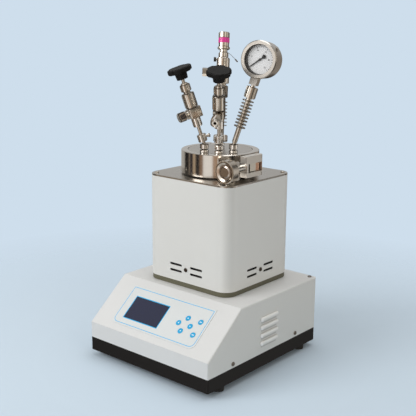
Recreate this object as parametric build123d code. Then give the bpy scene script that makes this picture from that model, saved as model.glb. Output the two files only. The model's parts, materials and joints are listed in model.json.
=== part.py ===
from build123d import *
import os
from math import cos, pi, radians, sin, sqrt, tan

# Stirred hydrothermal reactor on a bench base: millimetres, +Z up, front faces -Y.
# The origin is the centre of the base on the surface that it stands on.

# Base case
case_width = 290.0
case_depth = 320.0
foot_height = 12.0
foot_radius = 10.5
foot_side_inset = 14.0
foot_front_inset = 45.0
foot_rear_inset = 33.0
sheet = 1.5
tray_top = 37.5
front_top = 67.5
case_top = 140.0
slope_depth = 88.4
case_edge_radius = 2.5
tray_tab_width = 24.0
side_screw_height = 45.0
side_screw_spacing = 187.0
louvre_length = 52.0
louvre_height = 8.5
louvre_rise = 4.0
louvre_pitch = 15.2
louvre_count = 4
louvre_lowest = 57.3
louvre_centre_y = 9.0
top_screw_inset_x = 10.0
top_screw_inset_y = 8.0
screw_head_radius = 3.8
screw_head_height = 2.2
screw_shank_radius = 1.9
screw_length = 8.0
screw_hole_gap = 0.25

# Control panel, placed on the sloped face from its lower edge upwards
overlay_width = 203.0
overlay_height = 83.7
overlay_bottom = 13.8
overlay_thickness = 0.8
overlay_corner = 11.0
display_width = 83.0
display_height = 46.8
display_centre_x = -38.0
display_centre_v = 53.0
display_fit_gap = 0.15
display_step = 2.0
key_radius = 5.2
key_gap = 0.3
key_thickness = 1.7
key_rise = 0.3
key_travel = 0.4
key_stem_radius = 2.5
key_pad_centre = (55.3, 53.0)
key_pad_radius = 13.6
key_column_x = 84.5
board_width = 178.0
board_height = 62.0
board_thickness = 1.6
board_depth = 9.0
switch_body_size = 6.0
switch_body_height = 4.5
switch_clearance = 0.45

# Rear panel
inlet_width = 27.5
inlet_height = 20.0
inlet_depth = 22.0
inlet_flange = 3.0
inlet_x = -95.0
inlet_z = 68.0
socket_wall = 1.8
inlet_pin_length = 10.0
rocker_width = 11.0
rocker_length = 21.0
rocker_x = -45.0
rocker_tilt = 9.0
axle_radius = 1.2
axle_depth = 1.5
rear_slot_count = 7
rear_slot_pitch = 9.0

# Power supply and stirring drive inside the base
supply_width = 86.0
supply_length = 120.0
motor_radius = 21.0
motor_length = 40.0
motor_flange = 72.0
motor_flange_thickness = 2.0
shaft_radius = 3.0
running_gap = 0.05
rotor_radius = 30.0
rotor_height = 10.0
rotor_base = 142.0
magnet_radius = 7.0

# Furnace
furnace_y = 41.0
furnace_width = 198.0
furnace_depth = 191.0
furnace_corner = 25.0
plinth_height = 8.5
plinth_inset = 0.6
plinth_edge = 1.5
plinth_top_edge = 0.7
casing_bottom = 149.5
casing_top = 340.5
top_plate_thickness = 3.0
vent_length = 29.5
vent_height = 4.5
vent_pitch = 12.0
vent_offset = 24.7
vent_centre_z = 174.3
plate_screw_inset = 14.0
block_radius = 62.0
band_thickness = 4.0
band_bottom = 180.0
band_top = 320.0
band_split = 8.0
block_bottom = 158.0
block_floor = 6.0
rotor_well_radius = 34.0

# Pressure vessel
vessel_radius = 52.0
vessel_bore = 42.0
vessel_floor = 8.0
vessel_slip = 0.5
flange_radius = 65.6
flange_joint = 366.0
flange_thickness = 12.7
head_boss_radius = 60.0
ring_top = 388.0
spigot_depth = 4.0
liner_wall = 3.0
liner_slip = 0.3
seal_inner = 44.5
seal_outer = 49.5
seal_depth = 2.2
stir_bar_radius = 4.0
stir_bar_length = 34.0

# Clamp ring
ring_radius = 72.5
ring_bottom = 345.5
ring_groove_radius = 66.0
groove_gap = 0.3
lip_gap = 0.5
neck_gap = 1.5
split_angle = -33.0
split_gap = 1.0
ring_chamfer = 1.0
hinge_radius = 80.5
knuckle_radius = 7.5
pin_radius = 3.0
knuckle_gap = 0.4

# Swing bolt latch at the right of the ring
pivot_x = 85.25
pivot_y = 40.3
eye_width = 14.5
eye_front = 3.5
eye_bottom = 350.0
window_bottom = 358.4
window_top = 374.6
window_front = 8.6
window_rear = 48.5
tongue_front = 16.5
tongue_rear = 31.0
tongue_gap = 0.7
tongue_knuckle = 5.0
bolt_radius = 6.0
bolt_height = 367.5
bolt_tip = -46.6
lug_front = -32.0
lug_depth = 15.0
lug_bottom = 350.0
lug_top = 382.0
lug_inner_x = 40.0
lug_root_x = 60.0
washer_thickness = 2.0
washer_radius = 11.0
nut_radius = 20.6
nut_length = 17.0
nut_dish = 2.6
nut_groove_radius = 14.0
seat_gap = 0.1

# Ports in the head
port_radius = 50.0
valve_port_angles = {"left": -85.4, "front": -53.0}
gauge_port_angle = -22.0
port_thread_radius = 4.0
port_depth = 10.0
adapter_flats = 15.0
adapter_height = 5.0
adapter_neck = 2.2
nut_flats = 15.0
nut_height = 8.5
nut_flare = 4.2
bend_height = 14.0

# Needle valves; distances run along each valve's own axis from the pipe bend
valve_lean = {"left": 19.0, "front": 19.5}
valve_azimuth = {"left": -123.0, "front": -52.0}
outlet_azimuth = {"left": -120.0, "front": -61.0}
pipe_radius = 3.2
pipe_bend = 9.0
union_start = 7.0
union_length = 13.0
plug_radius = 3.5
plug_length = 13.0
lower_nut_start = 36.5
lower_nut_length = 16.5
lower_nut_flats = 15.5
body_start = 53.0
body_length = 18.6
body_width = 22.0
body_depth = 19.0
body_shift = 2.0
outlet_height = 62.3
outlet_start = 11.0
outlet_length = 35.0
outlet_collar_radius = 8.6
outlet_nut_flats = 16.0
outlet_cap_start = 16.5
outlet_cap_end = 31.0
outlet_cap_radius = 8.8
outlet_pipe_radius = 5.2
plug_turn = {"left": -32.0, "front": 0.0}
outlet_bore = 2.9
bonnet_start = 73.0
bonnet_length = 25.5
bonnet_flats = 21.0
packing_start = 103.0
packing_length = 15.0
packing_flats = 17.0
stem_radius = 3.0
needle_radius = 2.4
needle_tip = 2.4
seat_bore = 1.5
hub_start = 125.5
hub_length = 12.0
hub_radius = 11.2
wheel_radius = 22.0
wheel_thickness = 9.5
wheel_lobes = 6
wheel_scallop = 9.0
wheel_round = 4.0
wheel_edge = 2.6
needle_lift = 5.0

# Pressure gauge, along its own leaning axis
gauge_lean = 17.4
gauge_azimuth = 31.0
gauge_facing = -76.0
gauge_stub_radius = 3.4
cooling_pipe_radius = 4.8
fin_radius = 10.6
fin_thickness = 1.3
fin_pitch = 6.1
fin_count = 9
gauge_fins_start = 35.0
gauge_union_start = 90.0
gauge_union_length = 20.0
gauge_union_flats = 18.5
gauge_square = 14.0
gauge_square_start = 114.0
gauge_centre = 160.0
gauge_case_radius = 32.2
gauge_case_depth = 32.0
gauge_front = 13.5
bezel_radius = 33.4
bezel_depth = 8.0
dial_radius = 26.5
dial_depth = 5.0
pointer_length = 24.5
pointer_zero = 232.0
pointer_shaft_radius = 1.2

# Relief valve, in the centre of the head
relief_lean = 12.0
relief_azimuth = 122.6
relief_pipe_radius = 6.0
relief_nut_flats = 23.0
relief_nut_length = 13.0
relief_lock_height = 3.8
relief_stub_radius = 3.4
relief_bore = 4.0
relief_fins_start = 29.0
relief_union_start = 81.0
relief_body_start = 107.0
relief_body_length = 47.0
relief_body_radius = 12.0
relief_outlet_height = 127.0
relief_outlet_length = 38.0
relief_outlet_azimuth = -139.5
relief_band_start = 181.5
relief_band_length = 9.0
relief_band_radius = 10.3
relief_top = 201.3
seal_wire_radius = 0.4
seal_slug_radius = 1.3

# Derived places
half_width = case_width / 2
half_depth = case_depth / 2
outlet_reach = {"left": outlet_cap_end - 3, "front": outlet_length}
rear_face = half_depth - inlet_flange
plinth_bottom = case_top
plinth_top = casing_bottom
plate_top = casing_top + top_plate_thickness
vessel_bottom = block_bottom + block_floor
cavity_bottom = vessel_bottom + vessel_floor
flange_bottom = flange_joint - flange_thickness
flange_top = flange_joint + flange_thickness
groove_bottom = flange_bottom - groove_gap
groove_top = flange_top + groove_gap
lip_bore = head_boss_radius + lip_gap
slope_rise = case_top - front_top
slope_length = sqrt(slope_depth**2 + slope_rise**2)
slope_plane = Plane(
    origin=(0, -half_depth, front_top),
    x_dir=(1, 0, 0),
    z_dir=(0, -slope_rise, slope_depth),
)
up = (Align.CENTER, Align.CENTER, Align.MIN)


def rod(radius, length, start=0.0):
    return Pos(0, 0, start) * Cylinder(radius, length, align=up)


def tube(outer, inner, length, start=0.0):
    return rod(outer, length, start) - rod(inner, length, start)


def block(width, depth, height, start=0.0):
    return Pos(0, 0, start) * Box(width, depth, height, align=up)


def rounded_block(width, depth, height, corner, start=0.0):
    return Pos(0, 0, start) * extrude(RectangleRounded(width, depth, corner), height)


def hex_bar(flats, length, start=0.0, bore=0.0):
    bar = extrude(RegularPolygon(flats / 2, 6, major_radius=False), length)
    corner = flats / sqrt(3)
    turned = Cylinder(corner, length, align=up)
    turned = chamfer(turned.edges().filter_by(GeomType.CIRCLE), (corner - flats / 2) * 0.9)
    bar = bar & turned
    if bore:
        bar -= rod(bore, length)
    return Pos(0, 0, start) * bar


def polygon(points):
    return make_face(Polyline(*points, close=True))


def leaning(lean, azimuth):
    return Vector(
        sin(radians(lean)) * cos(radians(azimuth)),
        sin(radians(lean)) * sin(radians(azimuth)),
        cos(radians(lean)),
    )


def port_foot(radius, angle):
    return (radius * cos(radians(angle)), furnace_y + radius * sin(radians(angle)))


def stack_plane(foot, lean, azimuth, side_azimuth):
    along = leaning(lean, azimuth)
    side = leaning(90, side_azimuth)
    side = (side - along * side.dot(along)).normalized()
    return Plane(origin=(foot[0], foot[1], ring_top + bend_height), x_dir=side, z_dir=along)


valve_feet = {n: port_foot(port_radius, a) for n, a in valve_port_angles.items()}
gauge_foot = port_foot(port_radius, gauge_port_angle)
relief_foot = (0.0, furnace_y)
valve_planes = {
    n: stack_plane(valve_feet[n], valve_lean[n], valve_azimuth[n], outlet_azimuth[n])
    for n in valve_feet
}
gauge_plane = stack_plane(gauge_foot, gauge_lean, gauge_azimuth, gauge_facing)
relief_plane = stack_plane(relief_foot, relief_lean, relief_azimuth, relief_outlet_azimuth)


def screw(plane):
    head = rod(screw_head_radius, screw_head_height)
    head = chamfer(head.edges().sort_by(Axis.Z)[-1], screw_head_height * 0.45)
    slot = block(2 * screw_head_radius, 0.9, 1.0, screw_head_height - 0.8)
    return plane * (head - slot + rod(screw_shank_radius, screw_length, -screw_length))


# ---------- base ----------
def case_profile(inset, bottom):
    slope = Vector(0, slope_depth, slope_rise).normalized()
    normal = Vector(0, -slope.Z, slope.Y)
    front = -half_depth + inset
    top = case_top - inset
    start = -half_depth - normal.Y * inset
    knee = front_top + (front - start) * slope_rise / slope_depth - normal.Z * inset
    crest = start + (top - front_top + normal.Z * inset) * slope_depth / slope_rise
    rear = half_depth - inset
    return polygon([(front, bottom), (front, knee), (crest, top), (rear, top), (rear, bottom)])


def side_screw_places():
    return [(x, y) for x in (-1, 1) for y in (-side_screw_spacing / 2, side_screw_spacing / 2)]


def side_screw_plane(side, y):
    return Plane(origin=(side * half_width, y, side_screw_height), x_dir=(0, 1, 0), z_dir=(side, 0, 0))


def top_screw_planes():
    y = half_depth - top_screw_inset_y
    x = half_width - top_screw_inset_x
    return [Plane(origin=(side * x, y, case_top), z_dir=(0, 0, 1)) for side in (-1, 1)]


def foot_places():
    x = half_width - foot_side_inset
    ys = (-half_depth + foot_front_inset, half_depth - foot_rear_inset)
    return [(side * x, y) for side in (-1, 1) for y in ys]


def base_tray():
    height = tray_top - foot_height
    tray = block(case_width, case_depth, height, foot_height)
    tray = fillet(tray.edges().filter_by(Axis.Z), case_edge_radius)
    inner = block(case_width - 2 * sheet, case_depth - 2 * sheet, height, foot_height + sheet)
    tray -= inner
    for side, y in side_screw_places():
        tab_top = side_screw_height + tray_tab_width / 3
        tab = Pos(side * (half_width - 1.5 * sheet), y, foot_height + sheet)
        tray += tab * Box(sheet, tray_tab_width, tab_top - foot_height - sheet, align=up)
        hole = rod(screw_shank_radius + screw_hole_gap, 4 * sheet, -3 * sheet)
        tray -= side_screw_plane(side, y) * hole
    for x, y in foot_places():
        tray -= Pos(x, y, 0) * rod(screw_shank_radius + screw_hole_gap, 2 * foot_height)
    return tray


def louvre_planes():
    places = []
    for side in (-1, 1):
        for i in range(louvre_count):
            origin = (side * half_width, louvre_centre_y, louvre_lowest + i * louvre_pitch)
            places.append(Plane(origin=origin, x_dir=(0, side, 0), z_dir=(side, 0, 0)))
    return places


def louvre():
    hood = extrude(SlotOverall(louvre_length, louvre_height), louvre_rise)
    hood = fillet(hood.edges().group_by(Axis.Z)[-1], louvre_rise * 0.65)
    inner = SlotOverall(louvre_length - 2 * sheet, louvre_height - 2 * sheet)
    hollow = Pos(0, 0, -2 * sheet) * extrude(inner, louvre_rise + sheet)
    slit = Pos(0, -louvre_height / 2, 0.5) * Box(
        louvre_length - 2 * louvre_height, louvre_height / 2, louvre_rise - 1.2, align=up
    )
    return hood, hollow + slit


def base_cover():
    outer = extrude(Plane.YZ * case_profile(0, tray_top), half_width, both=True)
    edges = outer.edges().filter_by(lambda e: e.center().Z > tray_top + 1)
    edges = edges.filter_by(lambda e: abs(e.center().Y) < half_depth - 1 or abs(e.center().X) > 1)
    outer = fillet(edges, case_edge_radius)
    inner_face = Plane.YZ * case_profile(sheet, tray_top - 1)
    inner = extrude(inner_face, half_width - sheet, both=True)
    cover = outer - inner
    back = Pos(0, half_depth, (tray_top + case_top) / 2)
    opening = Box(case_width - 2 * sheet, 3 * sheet, case_top - tray_top - 2 * sheet)
    cover -= back * opening
    cover -= back * Pos(0, 0, -case_top / 4) * Box(case_width - 2 * sheet, 3 * sheet, case_top / 2)
    hood, hollow = louvre()
    for plane in louvre_planes():
        cover = cover + plane * hood - plane * hollow
    for side, y in side_screw_places():
        hole = rod(screw_shank_radius + screw_hole_gap, 3 * sheet, -2 * sheet)
        cover -= side_screw_plane(side, y) * hole
    for plane in top_screw_planes():
        cover -= plane * rod(screw_shank_radius + screw_hole_gap, 3 * sheet, -2 * sheet)
    window = block(display_width - 2 * display_step, display_height - 2 * display_step, 4 * sheet, -2 * sheet)
    cover -= slope_plane * Pos(display_centre_x, display_centre_v, 0) * window
    for x, v in key_places().values():
        cover -= slope_plane * Pos(x, v, -2 * sheet) * rod(key_radius + key_gap, 4 * sheet)
    cover -= Pos(0, furnace_y, case_top - 2 * sheet) * rod(rotor_well_radius, 4 * sheet)
    return cover


def rear_slots():
    slots = []
    for i in range(rear_slot_count):
        x = 55 + (i - (rear_slot_count - 1) / 2) * rear_slot_pitch
        slots.append(Pos(x, 0, 88) * Box(3.5, 4 * sheet, 46))
    return slots


def rear_panel():
    height = case_top - tray_top - sheet
    panel = Pos(0, rear_face - sheet / 2, tray_top)
    panel = panel * Box(case_width - 2 * sheet, sheet, height, align=up)
    flange_depth = 2 * top_screw_inset_y - inlet_flange
    flange = Pos(0, rear_face - flange_depth / 2, case_top - 2 * sheet)
    panel += flange * Box(case_width - 2 * sheet, flange_depth, sheet, align=up)
    wall = Pos(0, rear_face, 0)
    panel -= wall * Pos(inlet_x, 0, inlet_z) * Box(inlet_width, 4 * sheet, inlet_height)
    panel -= wall * Pos(rocker_x, 0, inlet_z) * Box(rocker_width + 2.4, 4 * sheet, rocker_length + 2.4)
    for slot in rear_slots():
        panel -= wall * slot
    for plane in top_screw_planes():
        panel -= plane * rod(screw_shank_radius + screw_hole_gap, 6 * sheet, -5 * sheet)
    return panel


def rubber_feet():
    feet = []
    for x, y in foot_places():
        foot = Cone(foot_radius * 0.9, foot_radius, foot_height, align=up)
        foot -= rod(foot_radius * 0.5, 2.5)
        foot -= rod(screw_shank_radius, foot_height)
        feet.append(Pos(x, y, 0) * foot)
    return Compound(children=feet)


def case_screws():
    planes = [side_screw_plane(side, y) for side, y in side_screw_places()]
    planes += top_screw_planes()
    for x, y in foot_places():
        planes.append(Plane(origin=(x, y, foot_height + sheet), z_dir=(0, 0, 1)))
    return Compound(children=[screw(plane) for plane in planes])


def inlet_plane():
    return Plane(origin=(inlet_x, rear_face, inlet_z), x_dir=(-1, 0, 0), z_dir=(0, 1, 0))


def power_inlet():
    body = block(inlet_width - 0.2, inlet_height - 0.2, inlet_depth, -inlet_depth)
    flange = rounded_block(inlet_width + 20, inlet_height + 5, inlet_flange, 4.0)
    socket = block(inlet_width - 2 * socket_wall, inlet_height - 2 * socket_wall, inlet_depth, 2 * socket_wall - inlet_depth)
    body = body + flange - socket
    for side in (-1, 1):
        body -= Pos(side * (inlet_width / 2 + 6), 0, 0) * rod(1.7, inlet_flange)
    pins = [body]
    for x, y in ((-7, -2), (7, -2), (0, 3)):
        pin = block(2.0, 4.0, inlet_pin_length, 2 * socket_wall - inlet_depth)
        pins.append(Pos(x, y, 0) * pin)
    plane = inlet_plane()
    return Compound(children=[plane * piece for piece in pins])


def rocker_plane():
    return Plane(origin=(rocker_x, rear_face, inlet_z), x_dir=(-1, 0, 0), z_dir=(0, 1, 0))


def switch_housing():
    housing = block(rocker_width + 2.2, rocker_length + 2.2, 16, -16)
    housing += block(rocker_width + 6, rocker_length + 6, 2)
    housing -= block(rocker_width, rocker_length, 14, -11)
    axle = Rot(0, 90, 0) * Cylinder(axle_radius, rocker_width + 2.2)
    return rocker_plane() * (housing - Pos(0, 0, -axle_depth) * axle)


def switch_rocker():
    arc_top = ThreePointArc((-rocker_length / 2 + 0.9, 2.6), (0, 1.2), (rocker_length / 2 - 0.9, 2.6))
    lower = Polyline(
        (rocker_length / 2 - 0.9, 2.6),
        (rocker_length / 2 - 1.6, -4.0),
        (-rocker_length / 2 + 1.6, -4.0),
        (-rocker_length / 2 + 0.9, 2.6),
    )
    face = make_face(arc_top + lower)
    rocker = extrude(Plane.YZ * face, rocker_width / 2 - 0.3, both=True)
    axle = Rot(0, 90, 0) * Cylinder(axle_radius - running_gap, rocker_width + 2.0)
    rocker = Rot(rocker_tilt, 0, 0) * (Pos(0, 0, axle_depth) * rocker + axle)
    return rocker_plane() * Pos(0, 0, -axle_depth) * rocker


def key_places():
    x, v = key_pad_centre
    return {
        "key_up": (x, v + key_pad_radius),
        "key_down": (x, v - key_pad_radius),
        "key_left": (x - key_pad_radius, v),
        "key_right": (x + key_pad_radius, v),
        "key_set": (key_column_x, v + key_pad_radius),
        "key_run": (key_column_x, v - key_pad_radius),
    }


def control_overlay():
    centre_v = overlay_bottom + overlay_height / 2
    sheet_part = Pos(0, centre_v, 0) * block(overlay_width, overlay_height, overlay_thickness)
    low = sheet_part.edges().filter_by(Axis.Z).sort_by(Axis.Y)[:2]
    sheet_part = fillet(low, overlay_corner)
    glass = block(display_width, display_height, 2 * overlay_thickness)
    sheet_part -= Pos(display_centre_x, display_centre_v, 0) * glass
    for x, v in key_places().values():
        sheet_part -= Pos(x, v, 0) * rod(key_radius + key_gap, overlay_thickness)
    return slope_plane * sheet_part


def display_window():
    width = display_width - 2 * display_fit_gap
    height = display_height - 2 * display_fit_gap
    glass = block(width, height, overlay_thickness)
    return slope_plane * Pos(display_centre_x, display_centre_v, 0) * glass


def key(place):
    cap = rod(key_radius, key_thickness, overlay_thickness + key_rise - key_thickness)
    cap = fillet(cap.edges().sort_by(Axis.Z)[-1], 0.25)
    board_face = -sheet - board_depth + board_thickness
    stem_end = board_face + switch_body_height + switch_clearance
    stem_top = overlay_thickness + key_rise - key_thickness
    cap += rod(key_stem_radius, stem_top - stem_end, stem_end)
    return slope_plane * Pos(place[0], place[1], 0) * cap


def control_board():
    board_base = -sheet - board_depth
    board = Pos(0, overlay_bottom + overlay_height / 2, 0) * block(
        board_width, board_height, board_thickness, board_base
    )
    face = board_base + board_thickness
    pieces = [board]
    for x, v in key_places().values():
        switch = block(switch_body_size, switch_body_size, switch_body_height, face)
        pieces.append(Pos(x, v, 0) * switch)
    lcd = block(display_width + 6, display_height + 6, -sheet - 0.3 - face, face)
    pieces.append(Pos(display_centre_x, display_centre_v, 0) * lcd)
    for x in (-1, 1):
        for v in (-1, 1):
            post = rod(2.5, -sheet - face, face)
            place_v = overlay_bottom + overlay_height / 2 + v * (board_height / 2 - 4)
            pieces.append(Pos(x * (board_width / 2 - 3.5), place_v, 0) * post)
    return Compound(children=[slope_plane * piece for piece in pieces])


def power_supply():
    floor = foot_height + sheet
    board_level = floor + 8
    board = Pos(-70, 60, 0) * block(supply_width, supply_length, board_thickness, board_level)
    pieces = [board]
    for x in (-1, 1):
        for y in (-1, 1):
            place = Pos(-70 + x * (supply_width / 2 - 5), 60 + y * (supply_length / 2 - 5), 0)
            pieces.append(place * rod(3, board_level - floor, floor))
    top = board_level + board_thickness
    pieces.append(Pos(-70, 90, 0) * rounded_block(54, 46, 38, 3, top))
    for i, x in enumerate((-92, -74, -56)):
        pieces.append(Pos(x, 45, 0) * rod(7, 24 + 3 * i, top))
    relay = Pos(-70, 16, 0) * block(58, 22, 26, top)
    for i in range(5):
        relay -= Pos(-94 + 12 * i, 16, 0) * block(5, 22, 18, top + 10)
    pieces.append(relay)
    return Compound(children=pieces)


def stir_motor():
    top = case_top - sheet
    flange = rounded_block(motor_flange, motor_flange, motor_flange_thickness, 6, top - motor_flange_thickness)
    can = rod(motor_radius, motor_length, top - motor_flange_thickness - motor_length)
    can = fillet(can.edges().group_by(Axis.Z)[0], 3)
    nose = rod(9, sheet + 0.5, top)
    motor = flange + can + nose
    motor -= rod(shaft_radius + running_gap, motor_length, top - motor_length / 2)
    return Pos(0, furnace_y, 0) * motor


def stir_rotor():
    disc = rod(rotor_radius, rotor_height, rotor_base)
    disc = chamfer(disc.edges().filter_by(GeomType.CIRCLE), 0.8)
    disc += rod(shaft_radius, rotor_base - (case_top - motor_length / 2) + 4, case_top - motor_length / 2 - 0.5)
    pieces = []
    for side in (-1, 1):
        place = Pos(side * (rotor_radius - magnet_radius - 3), 0, rotor_base + rotor_height - 6)
        disc -= place * rod(magnet_radius, 6)
        pieces.append(place * rod(magnet_radius, 6))
    return Compound(children=[Pos(0, furnace_y, 0) * piece for piece in [disc] + pieces])


# ---------- furnace ----------
def plate_screw_places():
    x = furnace_width / 2 - plate_screw_inset
    y = furnace_depth / 2 - plate_screw_inset
    return [(i * x, furnace_y + j * y) for i in (-1, 1) for j in (-1, 1)]


def vent_screw_planes():
    planes = []
    for turn, reach in ((0, furnace_depth / 2), (90, furnace_width / 2), (180, furnace_depth / 2), (270, furnace_width / 2)):
        angle = radians(turn - 90)
        out = Vector(cos(angle), sin(angle), 0)
        origin = Vector(0, furnace_y, vent_centre_z) + out * reach
        planes.append(Plane(origin=origin, x_dir=(-out.Y, out.X, 0), z_dir=out))
    return planes


def furnace_base_plate():
    plate = rounded_block(
        furnace_width - 2 * plinth_inset,
        furnace_depth - 2 * plinth_inset,
        plinth_top - plinth_bottom,
        furnace_corner - plinth_inset,
        plinth_bottom,
    )
    plate = fillet(plate.edges().group_by(Axis.Z)[0], plinth_edge)
    plate = fillet(plate.edges().group_by(Axis.Z)[-1], plinth_top_edge)
    plate -= rod(rotor_well_radius, plinth_top - plinth_bottom, plinth_bottom)
    return Pos(0, furnace_y, 0) * plate


def furnace_casing():
    height = casing_top - casing_bottom
    casing = rounded_block(furnace_width, furnace_depth, height, furnace_corner, casing_bottom)
    casing -= rounded_block(
        furnace_width - 2 * sheet, furnace_depth - 2 * sheet, height, furnace_corner - sheet, casing_bottom
    )
    casing = Pos(0, furnace_y, 0) * casing
    slot = extrude(SlotOverall(vent_length, vent_height), 4 * sheet, both=True)
    for plane in vent_screw_planes():
        for x in (-vent_offset, vent_offset):
            for z in (-vent_pitch / 2, vent_pitch / 2):
                casing -= plane * Pos(x, z, 0) * slot
        casing -= plane * rod(screw_shank_radius + screw_hole_gap, 3 * sheet, -2 * sheet)
    return casing


def furnace_top_plate():
    plate = rounded_block(furnace_width, furnace_depth, top_plate_thickness, furnace_corner, casing_top)
    plate = chamfer(plate.edges().group_by(Axis.Z)[-1], 0.6)
    plate -= rod(vessel_radius + neck_gap, top_plate_thickness, casing_top)
    plate = Pos(0, furnace_y, 0) * plate
    for x, y in plate_screw_places():
        plate -= Pos(x, y, casing_top) * rod(screw_shank_radius + screw_hole_gap, top_plate_thickness)
    return plate


def furnace_screws():
    planes = vent_screw_planes()
    for x, y in plate_screw_places():
        planes.append(Plane(origin=(x, y, plate_top), z_dir=(0, 0, 1)))
    return Compound(children=[screw(plane) for plane in planes])


def furnace_insulation():
    wall = 8.0
    height = casing_top - plinth_top
    wool = rounded_block(
        furnace_width - 2 * wall, furnace_depth - 2 * wall, height, furnace_corner - wall, plinth_top
    )
    wool -= rod(block_radius + band_thickness + vessel_slip, height, plinth_top)
    corner_x = furnace_width / 2 - plate_screw_inset
    corner_y = furnace_depth / 2 - plate_screw_inset
    for x in (-1, 1):
        for y in (-1, 1):
            wool -= Pos(x * corner_x, y * corner_y, casing_top - 2 * screw_length) * rod(6, 2 * screw_length)
    wool = Pos(0, furnace_y, 0) * wool
    return wool - sensor_plane() * rod(4.2, 60)


def heater_block():
    cup = rod(block_radius, casing_top - block_bottom - 4, block_bottom)
    cup -= rod(vessel_radius + vessel_slip, casing_top, vessel_bottom)
    for turn in range(0, 360, 90):
        foot = Rot(0, 0, turn + 45) * Pos(block_radius - 10, 0, plinth_top)
        cup += foot * Box(16, 10, block_bottom - plinth_top, align=up)
    cup = Pos(0, furnace_y, 0) * cup
    return cup - sensor_plane() * rod(2.1, 6, -band_thickness - 6)


def band_heater():
    height = band_top - band_bottom
    band = tube(block_radius + band_thickness, block_radius, height, band_bottom)
    band -= Pos(0, -block_radius - band_thickness, 0) * block(band_split, 4 * band_thickness, height, band_bottom)
    band = Pos(0, furnace_y, 0) * band
    return band - sensor_plane() * rod(2.6, 2 * band_thickness, -1.5 * band_thickness)


def sensor_plane():
    y = furnace_y + block_radius + band_thickness
    return Plane(origin=(0, y, 250), x_dir=(1, 0, 0), z_dir=(0, 1, 0))


def block_sensor():
    probe = rod(2.0, band_thickness + 6 + 14, -band_thickness - 6)
    probe += rod(4.0, 10, 8)
    return sensor_plane() * probe


# ---------- vessel and head ----------
def vessel():
    body = rod(vessel_radius, flange_bottom - vessel_bottom, vessel_bottom)
    body = fillet(body.edges().group_by(Axis.Z)[0], 6)
    body += rod(flange_radius, flange_thickness, flange_bottom)
    body -= rod(vessel_bore, flange_joint - cavity_bottom, cavity_bottom)
    body -= tube(seal_outer, seal_inner, seal_depth, flange_joint - seal_depth)
    return Pos(0, furnace_y, 0) * body


def vessel_liner():
    outer = vessel_bore - liner_slip
    height = flange_joint - spigot_depth - 1 - cavity_bottom
    liner = rod(outer, height, cavity_bottom)
    liner = fillet(liner.edges().group_by(Axis.Z)[0], 4)
    liner -= rod(outer - liner_wall, height, cavity_bottom + liner_wall)
    return Pos(0, furnace_y, 0) * liner


def seal_ring():
    return Pos(0, furnace_y, 0) * tube(seal_outer, seal_inner, seal_depth, flange_joint - seal_depth)


def vessel_head():
    head = rod(flange_radius, flange_thickness, flange_joint)
    boss = rod(head_boss_radius, ring_top - flange_top, flange_top)
    boss = chamfer(boss.edges().group_by(Axis.Z)[-1], 0.8)
    head += boss + rod(vessel_bore - liner_slip, spigot_depth, flange_joint - spigot_depth)
    head = Pos(0, furnace_y, 0) * head
    drilling = 2.0
    for angle in list(valve_port_angles.values()) + [gauge_port_angle]:
        x, y = port_foot(port_radius, angle)
        head -= Pos(x, y, ring_top - port_depth) * rod(port_thread_radius, port_depth)
        inner_x, inner_y = port_foot(vessel_bore - 8, angle)
        start = Vector(x, y, ring_top - port_depth + 1)
        end = Vector(inner_x, inner_y, flange_joint - spigot_depth - 3)
        slant = Plane(origin=start, z_dir=end - start)
        head -= slant * rod(drilling, (end - start).length)
    x, y = relief_foot
    head -= Pos(x, y, ring_top - port_depth) * rod(port_thread_radius, port_depth)
    head -= Pos(x, y, flange_joint - spigot_depth) * rod(drilling, ring_top - flange_joint)
    return head


def stir_bar():
    bar = Rot(0, 90, 0) * Cylinder(stir_bar_radius, stir_bar_length)
    bar = fillet(bar.edges().filter_by(GeomType.CIRCLE), stir_bar_radius * 0.9)
    bar += Cylinder(stir_bar_radius + 0.6, 3, rotation=(0, 90, 0))
    level = cavity_bottom + liner_wall + stir_bar_radius + 0.7
    return Pos(0, furnace_y, level) * bar


# ---------- clamp ring ----------
def ring_blank():
    ring = rod(ring_radius, ring_top - ring_bottom, ring_bottom)
    ring = chamfer(ring.edges().filter_by(GeomType.CIRCLE), ring_chamfer)
    ring -= rod(ring_groove_radius, groove_top - groove_bottom, groove_bottom)
    ring -= rod(lip_bore, ring_top - groove_top, groove_top)
    ring -= rod(vessel_radius + neck_gap, groove_bottom - ring_bottom, ring_bottom)
    return Pos(0, furnace_y, 0) * ring


def half_space(front):
    reach = 3 * ring_radius
    side = -1 if front else 1
    slab = Pos(0, side * (reach / 2 + split_gap / 2), 0) * Box(2 * reach, reach, 2 * ring_top)
    return Pos(0, furnace_y, 0) * Rot(0, 0, split_angle) * slab


def hinge_place():
    angle = radians(split_angle + 180)
    return (hinge_radius * cos(angle), furnace_y + hinge_radius * sin(angle))


def knuckle(low, high, side):
    x, y = hinge_place()
    barrel = Pos(x, y, low) * rod(knuckle_radius, high - low)
    web = Pos(0, furnace_y, low) * Rot(0, 0, split_angle + 180)
    web *= Pos((hinge_radius + ring_groove_radius + 2) / 2, side * knuckle_radius / 2, 0)
    web *= Box(hinge_radius - ring_groove_radius - 2, knuckle_radius, high - low, align=up)
    return barrel + web


def hinge_levels():
    third = (ring_top - ring_bottom - 2) / 3
    low = ring_bottom + 1
    return low, low + third, low + 2 * third, low + 3 * third


def hinge_hole(radius):
    x, y = hinge_place()
    return Pos(x, y, ring_bottom - 5) * rod(radius, ring_top - ring_bottom + 10)


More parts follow.
